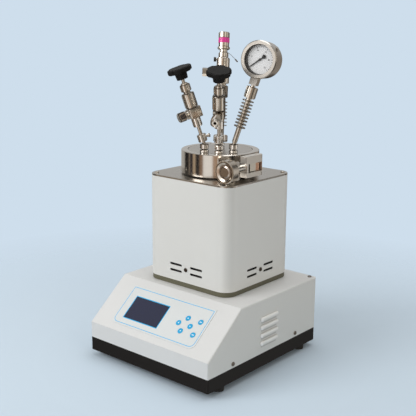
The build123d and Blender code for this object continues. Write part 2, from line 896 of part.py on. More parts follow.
def clamp_rear_half():
    half = ring_blank() & half_space(False)
    a, b, c, d = hinge_levels()
    x, y = hinge_place()
    half -= Pos(x, y, b - knuckle_gap) * rod(knuckle_radius + knuckle_gap, c - b + 2 * knuckle_gap)
    half += knuckle(a, b, -1) + knuckle(c, d, -1)
    half -= hinge_hole(pin_radius)
    low = window_bottom + tongue_gap
    height = window_top - window_bottom - 2 * tongue_gap
    inner_x = pivot_x - tongue_knuckle
    outer_x = pivot_x + tongue_knuckle - 1.6
    plan = polygon(
        [
            (ring_groove_radius - 2, tongue_front),
            (outer_x, tongue_front),
            (outer_x, pivot_y),
            (inner_x, pivot_y),
            (inner_x, tongue_rear),
            (ring_groove_radius + 2, tongue_rear),
        ]
    )
    tongue = Pos(0, 0, low) * extrude(plan, height)
    tongue += Pos(pivot_x, pivot_y, low) * rod(tongue_knuckle, height)
    tongue -= Pos(0, furnace_y, low) * rod(ring_groove_radius + 1, height)
    half += tongue
    return half - Pos(pivot_x, pivot_y, low) * rod(pin_radius, height)


def clamp_front_half():
    half = ring_blank() & half_space(True)
    a, b, c, d = hinge_levels()
    x, y = hinge_place()
    for low, high in ((a - 2, b + knuckle_gap), (c - knuckle_gap, d + 2)):
        half -= Pos(x, y, low) * rod(knuckle_radius + knuckle_gap, high - low)
    half += knuckle(b + knuckle_gap, c - knuckle_gap, 1)
    half -= hinge_hole(pin_radius + running_gap)
    outer_x = pivot_x + eye_width / 2
    rear = lug_front + lug_depth
    plan = polygon(
        [
            (lug_inner_x, lug_front - 5),
            (outer_x, lug_front - 5),
            (outer_x, rear),
            (lug_root_x, rear),
            (lug_root_x, rear + 16),
            (lug_inner_x, rear + 16),
        ]
    )
    lug = Pos(0, 0, lug_bottom) * extrude(plan, lug_top - lug_bottom)
    lug = lug & Pos(pivot_x, pivot_y, 0) * rod(pivot_y - lug_front - seat_gap, ring_top)
    lug -= Pos(0, furnace_y, 0) * rod(ring_radius - 4, ring_top)
    slot_half = bolt_radius + 0.5
    slot = Pos(pivot_x + 20, lug_front, bolt_height) * Box(40, 4 * lug_depth, 2 * slot_half)
    slot += Pos(pivot_x, lug_front, bolt_height) * Rot(90, 0, 0) * Cylinder(slot_half, 4 * lug_depth)
    lug -= slot
    return half + lug


def clamp_pins():
    x, y = hinge_place()
    hinge_pin = Pos(x, y, ring_bottom) * rod(pin_radius, ring_top - ring_bottom - 1)
    pivot_pin = Pos(pivot_x, pivot_y, eye_bottom + 0.5) * rod(pin_radius, ring_top - eye_bottom - 1)
    return Compound(children=[hinge_pin, pivot_pin])


def swing_bolt():
    straight = pivot_y - eye_front
    height = ring_top - eye_bottom
    eye = Pos(pivot_x, (eye_front + pivot_y) / 2, eye_bottom) * Box(eye_width, straight, height, align=up)
    end_depth = window_rear + 4.5 - pivot_y - eye_width / 2
    eye += Pos(pivot_x, pivot_y + end_depth / 2, eye_bottom) * Box(eye_width, end_depth, height, align=up)
    eye += Pos(pivot_x, pivot_y + end_depth, eye_bottom) * rod(eye_width / 2, height)
    eye = chamfer(eye.edges().group_by(Axis.Z)[-1], 0.8)
    window = Pos(pivot_x, (window_front + window_rear) / 2, window_bottom)
    eye -= window * Box(2 * eye_width, window_rear - window_front, window_top - window_bottom, align=up)
    eye -= Pos(pivot_x, pivot_y, eye_bottom) * rod(pin_radius + running_gap, height)
    shank = Pos(pivot_x, eye_front + 1, bolt_height) * Rot(90, 0, 0) * rod(bolt_radius, eye_front + 1 - bolt_tip)
    return eye + shank


def bolt_plane():
    y = lug_front
    return Plane(origin=(pivot_x, y, bolt_height), x_dir=(1, 0, 0), z_dir=(0, -1, 0))


def bolt_washer():
    return bolt_plane() * tube(washer_radius, bolt_radius + 0.1, washer_thickness)


def hand_nut():
    knob = rod(nut_radius, nut_length, washer_thickness)
    top = washer_thickness + nut_length
    knob = chamfer(knob.edges().filter_by(GeomType.CIRCLE), 1.2)
    knob -= Pos(0, 0, top - nut_dish) * Cone(nut_groove_radius - 1, nut_radius - 3.4, nut_dish, align=up)
    knob += Pos(0, 0, top - nut_dish) * Cone(nut_groove_radius - 3, nut_groove_radius - 5.5, 1.4, align=up)
    bore_depth = lug_front - bolt_tip + 0.4
    knob -= rod(bolt_radius + running_gap, bore_depth)
    return bolt_plane() * knob


# ---------- ports and valves ----------
def port_adapters():
    adapters = []
    for x, y in list(valve_feet.values()) + [gauge_foot, relief_foot]:
        adapter = hex_bar(adapter_flats, adapter_height)
        adapter += rod(port_thread_radius, port_depth, -port_depth)
        adapter += rod(port_thread_radius + 1.2, adapter_neck, adapter_height)
        adapter -= rod(1.5, 60, -30)
        adapters.append(Pos(x, y, ring_top) * adapter)
    return Compound(children=adapters)


def outlet_cap():
    cap = rod(outlet_cap_radius, outlet_cap_end - outlet_cap_start, outlet_cap_start)
    cap = fillet(cap.edges().group_by(Axis.Z)[-1], 3.4)
    cap = chamfer(cap.edges().group_by(Axis.Z)[0], 0.8)
    return cap - rod(outlet_pipe_radius, outlet_cap_end - 3 - outlet_cap_start, outlet_cap_start)


def outlet_nut():
    return hex_bar(outlet_nut_flats, outlet_length - 18, 18, bore=outlet_pipe_radius)


outlet_fittings = {"left": outlet_cap, "front": outlet_nut}


def pipe_nuts():
    level = ring_top + adapter_height + adapter_neck
    nuts = []
    for x, y in list(valve_feet.values()) + [gauge_foot]:
        bore = gauge_stub_radius if (x, y) == gauge_foot else pipe_radius
        nut = hex_bar(nut_flats, nut_height, bore=bore)
        nut -= Pos(0, 0, nut_height - nut_flare) * Cone(bore, bore + nut_flare / 3, nut_flare, align=up)
        nuts.append(Pos(x, y, level) * nut)
    x, y = relief_foot
    nuts.append(Pos(x, y, level) * hex_bar(nut_flats, relief_lock_height, bore=relief_stub_radius))
    nuts.append(relief_plane * hex_bar(relief_nut_flats, relief_nut_length, -1, bore=relief_bore))
    for name, plane in valve_planes.items():
        union = hex_bar(nut_flats, union_length, union_start, bore=pipe_radius)
        plug = Rot(0, 0, plug_turn[name]) * Pos(-pipe_radius - 0.3, 0, union_start + 8) * Rot(0, -90, 0)
        plug *= rod(plug_radius * 0.7, plug_length - 4) + rod(plug_radius, 3, plug_length - 4)
        nuts.append(plane * (union + plug))
        lower = hex_bar(lower_nut_flats, lower_nut_length, lower_nut_start, bore=pipe_radius)
        nuts.append(plane * lower)
        turned = Pos(0, 0, outlet_height) * Rot(0, 90, 0)
        nuts.append(plane * turned * outlet_fittings[name]())
    return Compound(children=nuts)


def bent_pipe(foot, plane, radius, end, start_level):
    bend = Vector(foot[0], foot[1], ring_top + bend_height)
    top = bend + plane.z_dir * end
    route = FilletPolyline((foot[0], foot[1], start_level), bend, top, radius=pipe_bend)
    outer = sweep(Plane(origin=(foot[0], foot[1], start_level)) * Circle(radius), path=route)
    return outer


def valve_pipes():
    level = ring_top + adapter_height + adapter_neck
    pipes = []
    for name, plane in valve_planes.items():
        pipes.append(bent_pipe(valve_feet[name], plane, pipe_radius, body_start, level))
    return Compound(children=pipes)


def valve_body(name):
    body = Pos(-body_shift, 0, 0) * block(body_width, body_depth, body_length, body_start)
    body = chamfer(body.edges().filter_by(Axis.Z), 1.6)
    arm = Pos(0, 0, outlet_height) * Rot(0, 90, 0)
    reach = outlet_reach[name]
    body += arm * (rod(outlet_pipe_radius, reach, 0) + tube(outlet_collar_radius, 4, 3.0, outlet_start))
    body += rod(8.0, bonnet_start - body_start - body_length, body_start + body_length)
    needle_floor = outlet_height - 4.0
    body -= rod(4.2, bonnet_start - needle_floor, needle_floor)
    body -= rod(seat_bore, needle_floor - body_start, body_start)
    body -= arm * rod(outlet_bore, reach, 0)
    return valve_planes[name] * body


def valve_bonnet(name):
    bonnet = hex_bar(bonnet_flats, bonnet_length, bonnet_start)
    bonnet += rod(6.5, packing_start - bonnet_start - bonnet_length, bonnet_start + bonnet_length)
    bonnet -= rod(stem_radius + running_gap, packing_start - bonnet_start, bonnet_start)
    packing = hex_bar(packing_flats, packing_length - 3, packing_start)
    packing += Pos(0, 0, packing_start + packing_length - 3) * Cone(7.6, 5.2, 3, align=up)
    packing -= rod(stem_radius + running_gap, packing_length, packing_start)
    plane = valve_planes[name]
    return Compound(children=[plane * bonnet, plane * packing])


def valve_needle(name):
    low = outlet_height - 4.0 + 0.05
    needle = Pos(0, 0, low) * Cone(seat_bore * 0.6, needle_radius, needle_tip, align=up)
    needle += rod(needle_radius, 12, low + needle_tip)
    return valve_planes[name] * needle


def scalloped_wheel():
    wheel = rod(wheel_radius, wheel_thickness)
    for i in range(wheel_lobes):
        turn = Rot(0, 0, (i + 0.5) * 360 / wheel_lobes)
        wheel -= turn * Pos(wheel_radius + wheel_scallop * 0.78, 0, 0) * rod(wheel_scallop, wheel_thickness)
    upright = wheel.edges().filter_by(Axis.Z).filter_by(lambda e: abs(e.center().Y) > 0.1)
    wheel = fillet(upright, wheel_round)
    return fillet(wheel.edges().group_by(Axis.Z)[-1] + wheel.edges().group_by(Axis.Z)[0], wheel_edge)


def valve_handwheel(name):
    wheel_start = hub_start + hub_length
    wheel = Pos(0, 0, wheel_start) * scalloped_wheel()
    hub = Pos(0, 0, hub_start) * Cone(hub_radius - 1.2, hub_radius, hub_length, align=up)
    low = outlet_height - 4.0 + 0.05 + needle_tip + 12
    spindle = rod(stem_radius, hub_start + 6 - low - 0.1, low + 0.1)
    return valve_planes[name] * (wheel + hub + spindle)


def finned_pipe(radius, first_fin, count, end, start):
    pipe = rod(radius, end - start, start)
    for i in range(count):
        pipe += rod(fin_radius, fin_thickness, first_fin + i * fin_pitch)
    return pipe


# ---------- gauge ----------
def gauge_pipe():
    pipe = finned_pipe(cooling_pipe_radius, gauge_fins_start, fin_count, gauge_union_start, 6.0)
    union = hex_bar(gauge_union_flats, gauge_union_length, gauge_union_start)
    neck = rod(3.6, gauge_square_start - gauge_union_start - gauge_union_length, gauge_union_start + gauge_union_length)
    stub = rod(gauge_stub_radius, 8, -1)
    shape = gauge_plane * (pipe + union + neck + stub)
    level = ring_top + adapter_height + adapter_neck
    x, y = gauge_foot
    drop = Pos(x, y, level) * rod(gauge_stub_radius, bend_height - adapter_height - adapter_neck)
    return shape + drop


def gauge_face_plane():
    centre = gauge_plane.origin + gauge_plane.z_dir * gauge_centre
    return Plane(origin=centre, x_dir=gauge_plane.z_dir, z_dir=gauge_plane.x_dir)


def gauge_case():
    front = gauge_front
    shell = rod(gauge_case_radius, gauge_case_depth, front - gauge_case_depth)
    shell = fillet(shell.edges().group_by(Axis.Z)[0], 2.5)
    bezel = tube(bezel_radius, dial_radius + 0.2, bezel_depth, front - bezel_depth + 3)
    bezel = chamfer(bezel.edges().group_by(Axis.Z)[-1].sort_by(SortBy.LENGTH)[-1], 1.6)
    shell += bezel
    floor = front - dial_depth - 1.4
    shell -= rod(dial_radius + 0.2, 30, floor)
    shell -= rod(pointer_shaft_radius + running_gap, 4, floor - 4)
    square_top = gauge_case_radius - 1.5
    stem_length = gauge_centre - gauge_square_start - square_top
    stem = Pos(-square_top - stem_length / 2 + 1, 0, 0) * Box(stem_length + 2, gauge_square, gauge_square)
    plug = Rot(0, 0, -38) * Pos(gauge_case_radius - 1, 0, -2) * Rot(0, 90, 0) * rod(4.2, 4)
    plane = gauge_face_plane()
    return plane * (shell + stem + plug)


def gauge_window():
    front = gauge_front
    return gauge_face_plane() * rod(dial_radius + 0.1, 1.6, front - 0.2)


def gauge_dial():
    front = gauge_front
    dial = rod(dial_radius, 1.0, front - dial_depth - 1.4)
    dial -= rod(pointer_shaft_radius + 0.3, 1.0, front - dial_depth - 1.4)
    return gauge_face_plane() * dial


def gauge_pointer():
    front = gauge_front
    level = front - dial_depth + 0.9
    half = [(-11, 2.6), (-4.5, 1.8), (0, 4), (6, 1.5), (pointer_length, 0.4)]
    blade = polygon(half + [(x, -y) for x, y in reversed(half)])
    pointer = Pos(0, 0, level) * extrude(blade, 0.7)
    shaft_length = 5.0
    pointer += rod(2.4, 1.2, level) + rod(pointer_shaft_radius, shaft_length, level - shaft_length)
    return gauge_face_plane() * Rot(0, 0, pointer_zero - 90) * pointer


# ---------- relief valve ----------
def relief_pipe():
    end = relief_union_start
    pipe = finned_pipe(relief_pipe_radius, relief_fins_start, fin_count - 1, end, relief_nut_length - 1)
    pipe += rod(relief_bore, relief_nut_length, -1)
    union = hex_bar(gauge_union_flats, relief_body_start - end - 4, end)
    neck = rod(7.0, 4, relief_body_start - 4)
    level = ring_top + adapter_height + adapter_neck
    x, y = relief_foot
    drop = Pos(x, y, level) * rod(relief_stub_radius, bend_height - adapter_height - adapter_neck)
    return relief_plane * (pipe + union + neck) + drop


def relief_body():
    body = rod(relief_body_radius, relief_body_length, relief_body_start)
    body = chamfer(body.edges().filter_by(GeomType.CIRCLE), 1.2)
    arm = Pos(0, 0, relief_outlet_height) * Rot(0, 90, 0)
    body += arm * rod(4.5, relief_outlet_length)
    body += arm * hex_bar(14.0, 12, relief_outlet_length - 12)
    body -= arm * rod(2.5, relief_outlet_length - 6, 6)
    knob = Pos(0, 0, relief_body_start + relief_body_length - 3) * Rot(0, 90, 0)
    body += knob * (rod(2.2, 15) + rod(4.2, 4.5, relief_body_radius + 1.2))
    return relief_plane * body


def relief_bonnet():
    start = relief_body_start + relief_body_length
    bonnet = hex_bar(16.0, 9.7, start)
    bonnet += rod(7.2, 6.0, start + 9.7)
    bonnet += hex_bar(20.0, 5.0, start + 15.7)
    bonnet += rod(9.6, relief_band_start - start - 20.7, start + 20.7)
    bonnet += rod(9.0, relief_band_length, relief_band_start)
    cap_start = relief_band_start + relief_band_length
    cap = hex_bar(18.0, relief_top - cap_start, cap_start)
    bonnet += cap & Pos(0, 0, cap_start) * Cone(10.4 + relief_top - cap_start, 8.6, relief_top - cap_start, align=up)
    return relief_plane * bonnet


def relief_band():
    return relief_plane * tube(relief_band_radius, 9.0, relief_band_length, relief_band_start)


def relief_seal_wire():
    start = relief_body_start + relief_body_length + 10.6
    places = [(-7.85, 0, start), (-14, 0, start - 4.5), (-22, 0, start - 12), (-26.5, 0, start - 17)]
    points = [relief_plane.from_local_coords(Vector(place)) for place in places]
    wire = Pos(points[1]) * Sphere(seal_wire_radius)
    for a, b in zip(points[:2], points[1:3]):
        wire += Plane(origin=a, z_dir=b - a) * rod(seal_wire_radius, (b - a).length)
    slug = points[3] - points[2]
    return wire + Plane(origin=points[2], z_dir=slug) * rod(seal_slug_radius, slug.length)


pieces = {
    "base_tray": base_tray(),
    "base_cover": base_cover(),
    "rear_panel": rear_panel(),
    "rubber_feet": rubber_feet(),
    "case_screws": case_screws(),
    "power_inlet": power_inlet(),
    "switch_housing": switch_housing(),
    "switch_rocker": switch_rocker(),
    "control_overlay": control_overlay(),
    "display_window": display_window(),
    "control_board": control_board(),
    "power_supply": power_supply(),
    "stir_motor": stir_motor(),
    "stir_rotor": stir_rotor(),
    "furnace_base_plate": furnace_base_plate(),
    "furnace_casing": furnace_casing(),
    "furnace_top_plate": furnace_top_plate(),
    "furnace_screws": furnace_screws(),
    "furnace_insulation": furnace_insulation(),
    "heater_block": heater_block(),
    "band_heater": band_heater(),
    "block_sensor": block_sensor(),
    "vessel": vessel(),
    "vessel_liner": vessel_liner(),
    "seal_ring": seal_ring(),
    "vessel_head": vessel_head(),
    "clamp_rear_half": clamp_rear_half(),
    "clamp_front_half": clamp_front_half(),
    "clamp_pins": clamp_pins(),
    "swing_bolt": swing_bolt(),
    "bolt_washer": bolt_washer(),
    "hand_nut": hand_nut(),
    "stir_bar": stir_bar(),
    "port_adapters": port_adapters(),
    "pipe_nuts": pipe_nuts(),
    "valve_pipes": valve_pipes(),
    "gauge_pipe": gauge_pipe(),
    "gauge_case": gauge_case(),
    "gauge_window": gauge_window(),
    "gauge_dial": gauge_dial(),
    "gauge_pointer": gauge_pointer(),
    "relief_pipe": relief_pipe(),
    "relief_body": relief_body(),
    "relief_bonnet": relief_bonnet(),
    "relief_band": relief_band(),
    "relief_seal_wire": relief_seal_wire(),
}
for key_name, key_place in key_places().items():
    pieces[key_name] = key(key_place)
for side_name in valve_planes:
    pieces[side_name + "_valve_body"] = valve_body(side_name)
    pieces[side_name + "_valve_bonnet"] = valve_bonnet(side_name)
    pieces[side_name + "_valve_needle"] = valve_needle(side_name)
    pieces[side_name + "_valve_handwheel"] = valve_handwheel(side_name)

os.makedirs("parts", exist_ok=True)
for piece_name, piece in pieces.items():
    export_step(piece, f"parts/{piece_name}.step")
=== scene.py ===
import json
import math

import bmesh
import bpy
from mathutils import Matrix, Vector


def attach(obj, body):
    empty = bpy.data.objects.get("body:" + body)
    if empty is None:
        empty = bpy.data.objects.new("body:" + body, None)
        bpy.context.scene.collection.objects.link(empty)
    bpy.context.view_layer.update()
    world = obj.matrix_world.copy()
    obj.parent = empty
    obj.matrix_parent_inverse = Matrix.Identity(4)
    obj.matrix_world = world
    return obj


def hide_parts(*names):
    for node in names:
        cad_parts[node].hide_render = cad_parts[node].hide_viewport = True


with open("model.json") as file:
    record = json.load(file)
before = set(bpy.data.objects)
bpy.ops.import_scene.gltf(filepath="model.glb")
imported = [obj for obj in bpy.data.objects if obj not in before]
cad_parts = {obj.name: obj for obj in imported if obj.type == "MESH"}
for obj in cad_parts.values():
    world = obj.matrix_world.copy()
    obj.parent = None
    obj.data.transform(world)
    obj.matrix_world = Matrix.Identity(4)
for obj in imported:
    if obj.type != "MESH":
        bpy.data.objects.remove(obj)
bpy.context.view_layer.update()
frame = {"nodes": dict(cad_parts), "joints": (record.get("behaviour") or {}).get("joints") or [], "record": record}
nodes = frame["nodes"]
joints = {joint["name"]: joint for joint in frame["joints"]}
print("frame loaded:", len(nodes), "nodes")

# the reactor's own places and directions that the finishes follow, in metres
machine = {
    "creaseY": -0.160,
    "creaseZ": 0.0675,
    "slopeRise": 0.0725,
    "slopeRun": 0.0884,
    "bendHeight": 0.402,
    "gaugePort": (0.046360, 0.022270),
    "gaugeUp": (0.25633, 0.15402, 0.95424),
    "reliefUp": (-0.11202, 0.17516, 0.97815),
    "reliefSide": (-0.76392, -0.64471, 0.02796),
}


def jointLine(name):
    return Vector(joints[name]["pos_m"]), Vector(joints[name]["axis"])


def valveLine(name):
    hub, direction = jointLine(name)
    return hub + direction * ((machine["bendHeight"] - hub.z) / direction.z), direction


# a line is a place and a direction; the four leaning ones start where their pipes bend
axisY = jointLine("stirrer_spin")[0].y
leftValve = valveLine("left_wheel_turn")
frontValve = valveLine("front_wheel_turn")
gaugeUp = Vector(machine["gaugeUp"])
gaugeLine = (Vector((*machine["gaugePort"], machine["bendHeight"])), gaugeUp)
reliefLine = (Vector((0.0, axisY, machine["bendHeight"])), Vector(machine["reliefUp"]))
gaugeCentre, sweepAxis = jointLine("pointer_sweep")
gaugeNormal = -sweepAxis


# shader maths: an expression on signals adds its Math nodes
class Signal:
    def __init__(self, owner, socket):
        self.owner = owner
        self.socket = socket

    def maths(self, operation, other=None, swap=False):
        first, second = (1, 0) if swap else (0, 1)
        node = self.owner.add("ShaderNodeMath", {"operation": operation}, {first: self, second: other})
        return self.owner.out(node, 0)

    def __add__(self, other):
        return self.maths("ADD", other)

    def __radd__(self, other):
        return self.maths("ADD", other, True)

    def __sub__(self, other):
        return self.maths("SUBTRACT", other)

    def __rsub__(self, other):
        return self.maths("SUBTRACT", other, True)

    def __mul__(self, other):
        return self.maths("MULTIPLY", other)

    def __rmul__(self, other):
        return self.maths("MULTIPLY", other, True)

    def __pow__(self, other):
        return self.maths("POWER", other)

    def __abs__(self):
        return self.maths("ABSOLUTE")

    def __gt__(self, other):
        return self.maths("GREATER_THAN", other)

    def __lt__(self, other):
        return self.maths("LESS_THAN", other)

    def atMost(self, other):
        return self.maths("MINIMUM", other)

    def atLeast(self, other):
        return self.maths("MAXIMUM", other)

    def sine(self):
        return self.maths("SINE")

    def root(self):
        return self.maths("SQRT")

    def angle(self, other):
        return self.maths("ARCTAN2", other)

    def wrap(self, other):
        return self.maths("FLOORED_MODULO", other)

    def within(self, low, high):
        return (self > low) * (self < high)

    def ramp(self, low, high):
        return ((self - low) * (1 / (high - low))).atLeast(0.0).atMost(1.0)


class NodeTree:
    def __init__(self, tree):
        self.tree = tree

    def feed(self, socket, value):
        if isinstance(value, Signal):
            self.tree.links.new(value.socket, socket)
        elif value is not None:
            socket.default_value = value

    def add(self, kind, settings, values):
        node = self.tree.nodes.new(kind)
        for name, value in settings.items():
            setattr(node, name, value)
        for socket, value in values.items():
            self.feed(node.inputs[socket], value)
        return node

    def out(self, node, socket):
        return Signal(self, node.outputs[socket])


class Finish(NodeTree):
    def __init__(self, name):
        self.material = bpy.data.materials.new(name)
        self.material.use_nodes = True
        super().__init__(self.material.node_tree)
        self.shader = self.tree.nodes["Principled BSDF"]
        self.place = self.out(self.add("ShaderNodeTexCoord", {}, {}), "Object")
        split = self.add("ShaderNodeSeparateXYZ", {}, {"Vector": self.place})
        self.x, self.y, self.z = (self.out(split, name) for name in "XYZ")

    def along(self, place, direction):
        parts = (self.x - place[0], self.y - place[1], self.z - place[2])
        return parts[0] * direction[0] + parts[1] * direction[1] + parts[2] * direction[2]

    def fromAxis(self, place, direction):
        x, y, z = self.x - place[0], self.y - place[1], self.z - place[2]
        run = self.along(place, direction)
        return (x * x + y * y + z * z - run * run).atLeast(0.0).root()

    def noise(self, scale, detail=3.0, roughness=0.5, place=None):
        values = {"Vector": place or self.place, "Scale": scale, "Detail": detail, "Roughness": roughness}
        return self.out(self.add("ShaderNodeTexNoise", {}, values), "Fac")

    def stretched(self, x, y, z):
        node = self.add("ShaderNodeMapping", {}, {"Vector": self.place, "Scale": (x, y, z)})
        return self.out(node, "Vector")

    def combine(self, x, y, z):
        node = self.add("ShaderNodeCombineXYZ", {}, {"X": x, "Y": y, "Z": z})
        return self.out(node, "Vector")

    # the colour sockets of a Mix node come after those for numbers and vectors
    def mix(self, factor, low, high):
        node = self.add("ShaderNodeMix", {"data_type": "RGBA"}, {0: factor, 6: low, 7: high})
        return self.out(node, 2)

    def bump(self, height, strength, distance):
        values = {"Height": height, "Strength": strength, "Distance": distance}
        self.set(Normal=self.out(self.add("ShaderNodeBump", {}, values), "Normal"))

    def set(self, **values):
        for name, value in values.items():
            self.feed(self.shader.inputs[name.replace("_", " ")], value)


def colour(red, green, blue):
    def linear(value):
        value = value / 255
        return value / 12.92 if value <= 0.04045 else ((value + 0.055) / 1.055) ** 2.4

    return (linear(red), linear(green), linear(blue), 1.0)


def darker(base, share):
    return tuple(part * (1 - share) for part in base[:3]) + (1.0,)


finishes = {}

powderCoat = {
    "cloud": 14.0,
    "grain": 900.0,
    "depth": 0.00006,
    "patchiness": 0.05,
    "unevenness": 0.08,
    "coatRoughness": 0.25,
}


def powder(name, base, rough, coat=0.0, patch=powderCoat["patchiness"], shine=0.5, marks=None):
    finish = Finish(name)
    cloud = finish.noise(powderCoat["cloud"], 4.0)
    tone = finish.mix(cloud, darker(base, patch), base)
    # marks can paint light and shade into the tone, as the louvres' painted highlights and shadows do
    if marks:
        tone = marks(finish, tone, base)
    finish.set(
        Base_Color=tone,
        Roughness=(cloud - 0.5) * powderCoat["unevenness"] + rough,
        Coat_Weight=coat,
        Coat_Roughness=powderCoat["coatRoughness"],
        Specular_IOR_Level=shine,
    )
    finish.bump(finish.noise(powderCoat["grain"], 2.0), 0.25, powderCoat["depth"])
    return finish.material


# the pressed louvres in both side walls, in metres; the walls get a warmer painted shade tint, each louvre painted
# highlights on its crown and nose and a painted shadow under it; crown, under and nose count half heights from a
# louvre's middle
louvres = {
    "wall": 0.145,
    "wallSkin": 0.0006,
    "wallShadeTint": (1.0, 0.985, 0.94),
    "wallShadeShare": 0.8,
    "front": -0.012,
    "back": 0.031,
    "lowest": 0.0573,
    "pitch": 0.0152,
    "count": 4,
    "halfHeight": 0.00425,
    "raisedStart": 0.0003,
    "raisedEnd": 0.0022,
    "crown": (-1.0, 1.1),
    "crownFade": 0.5,
    "crownPaintedHighlight": (0.98, 0.97, 0.95, 1),
    "crownHighlightShare": 0.85,
    "under": (-1.9, -0.75),
    "underFront": 0.0015,
    "underBack": 0.001,
    "underPaintedShadow": (0.2, 0.19, 0.175, 1),
    "underShadowShare": 0.34,
    "nose": (-1.0, 1.0),
    "noseStart": 0.003,
    "noseEnd": 0.001,
    "nosePaintedHighlight": (1, 1, 1, 1),
}


def louvrePaintedLight(finish, tone, base):
    size = louvres
    # the side walls get a warmer tint, painted shade
    wall = tuple(part * tint for part, tint in zip(base, size["wallShadeTint"])) + (1.0,)
    reach = abs(finish.x) - size["wall"]
    tone = finish.mix((reach > -size["wallSkin"]) * size["wallShadeShare"], tone, wall)
    raised = reach.ramp(size["raisedStart"], size["raisedEnd"])
    length = finish.y.within(size["front"] - size["underFront"], size["back"] + size["underBack"])
    tip = 1 - finish.y.ramp(size["front"] - size["noseStart"], size["front"] + size["noseEnd"])
    for number in range(size["count"]):
        height = (finish.z - (size["lowest"] + number * size["pitch"])) * (1 / size["halfHeight"])
        crown = height.within(*size["crown"]) * height.ramp(-size["crownFade"], size["crownFade"]) * raised
        under = height.within(*size["under"]) * length
        nose = height.within(*size["nose"]) * raised * tip
        # painted shadow under each louvre, then painted highlights on its crown and its front end
        tone = finish.mix(under * size["underShadowShare"], tone, size["underPaintedShadow"])
        tone = finish.mix(crown * size["crownHighlightShare"], tone, size["crownPaintedHighlight"])
        tone = finish.mix(nose, tone, size["nosePaintedHighlight"])
    return tone


whiteCoat = {"base": colour(222, 223, 223), "rough": 0.46, "coat": 0.1}
finishes["white_coat"] = powder("whitePowderCoat", **whiteCoat)
finishes["casing_white"] = powder("casingPowderCoat", colour(228, 228, 225), 0.38, 0.15)
finishes["black_coat"] = powder("blackPowderCoat", colour(17, 17, 19), 0.55, 0.0, 0.2, 0.36)
finishes["olive_coat"] = powder("oliveGreyCoat", colour(102, 100, 80), 0.55, 0.0, 0.1)

brushing = {"alongPlate": 3.0, "acrossPlate": 700.0, "depth": 0.00002, "wear": 0.18, "spread": 0.1}


def brushed(name, base, rough):
    finish = Finish(name)
    across = brushing["acrossPlate"]
    lines = finish.noise(1.0, 4.0, 0.6, finish.stretched(brushing["alongPlate"], across, across))
    cloud = finish.noise(18.0, 3.0)
    finish.set(
        Base_Color=finish.mix(lines * 0.6 + cloud * 0.4, darker(base, brushing["wear"]), base),
        Metallic=1.0,
        Roughness=(lines - 0.5) * brushing["spread"] + (cloud - 0.5) * 0.1 + rough,
    )
    finish.bump(lines, 0.35, brushing["depth"])
    return finish.material


turning = {"lines": 2600.0, "flatten": 0.6, "depth": 0.00002, "wear": 0.15, "spread": 0.08}

# the rear half's tongue, seen between the fork's arms, with the bush of the swing bolt's pin behind it and a
# painted shadow along the window's edges and front end
latchTongue = {
    "outside": 0.080,
    "shadowEnd": 0.0172,
    "bushStart": 0.0342,
    "low": 0.3595,
    "high": 0.3735,
    "steel": (0.84, 0.80, 0.72, 1),
    "bush": (0.80, 0.52, 0.38, 1),
    "shadow": (0.012, 0.011, 0.01, 1),
    "dulling": 0.25,
}


def tongueColoursAndPaintedShadow(finish, tone, roughness):
    inWindow = finish.x > latchTongue["outside"]
    edge = 1 - finish.z.within(latchTongue["low"], latchTongue["high"])
    # painted shadow along the window's top and bottom and at its front end
    shadow = edge.atLeast(finish.y < latchTongue["shadowEnd"]) * inWindow
    tone = finish.mix(inWindow, tone, latchTongue["steel"])
    tone = finish.mix((finish.y > latchTongue["bushStart"]) * inWindow, tone, latchTongue["bush"])
    return finish.mix(shadow, tone, latchTongue["shadow"]), roughness + inWindow * latchTongue["dulling"]


def turned(name, base, rough, lineScale=turning["lines"], spread=turning["spread"], marks=None):
    finish = Finish(name)
    y = finish.y - axisY
    radius = (finish.x * finish.x + y * y).root()
    rings = finish.combine(radius * lineScale, finish.z * lineScale * turning["flatten"], 0.0)
    lines = finish.noise(1.0, 3.0, 0.6, rings)
    cloud = finish.noise(22.0, 3.0)
    tone = finish.mix(lines * 0.5 + cloud * 0.5, darker(base, turning["wear"]), base)
    roughness = (lines - 0.5) * spread + (cloud - 0.5) * 0.08 + rough
    # marks can paint shade into the tone, as the tongue's painted shadow does
    if marks:
        tone, roughness = marks(finish, tone, roughness)
    finish.set(Base_Color=tone, Metallic=1.0, Roughness=roughness)
    finish.bump(lines, 0.3, turning["depth"])
    return finish.material


plainSteel = {"cloud": 60.0, "grain": 2200.0, "depth": 0.00001, "unevenness": 0.16, "polish": 0.19}


def steel(name, base, rough, wear=0.12, polishedBefore=None):
    finish = Finish(name)
    cloud = finish.noise(plainSteel["cloud"], 5.0, 0.6)
    roughness = (cloud - 0.5) * plainSteel["unevenness"] + rough
    if polishedBefore is not None:
        roughness = roughness - (finish.y < polishedBefore) * (rough - plainSteel["polish"])
    finish.set(Base_Color=finish.mix(cloud, darker(base, wear), base), Metallic=1.0, Roughness=roughness)
    finish.bump(finish.noise(plainSteel["grain"], 2.0), 0.06, plainSteel["depth"])
    return finish.material


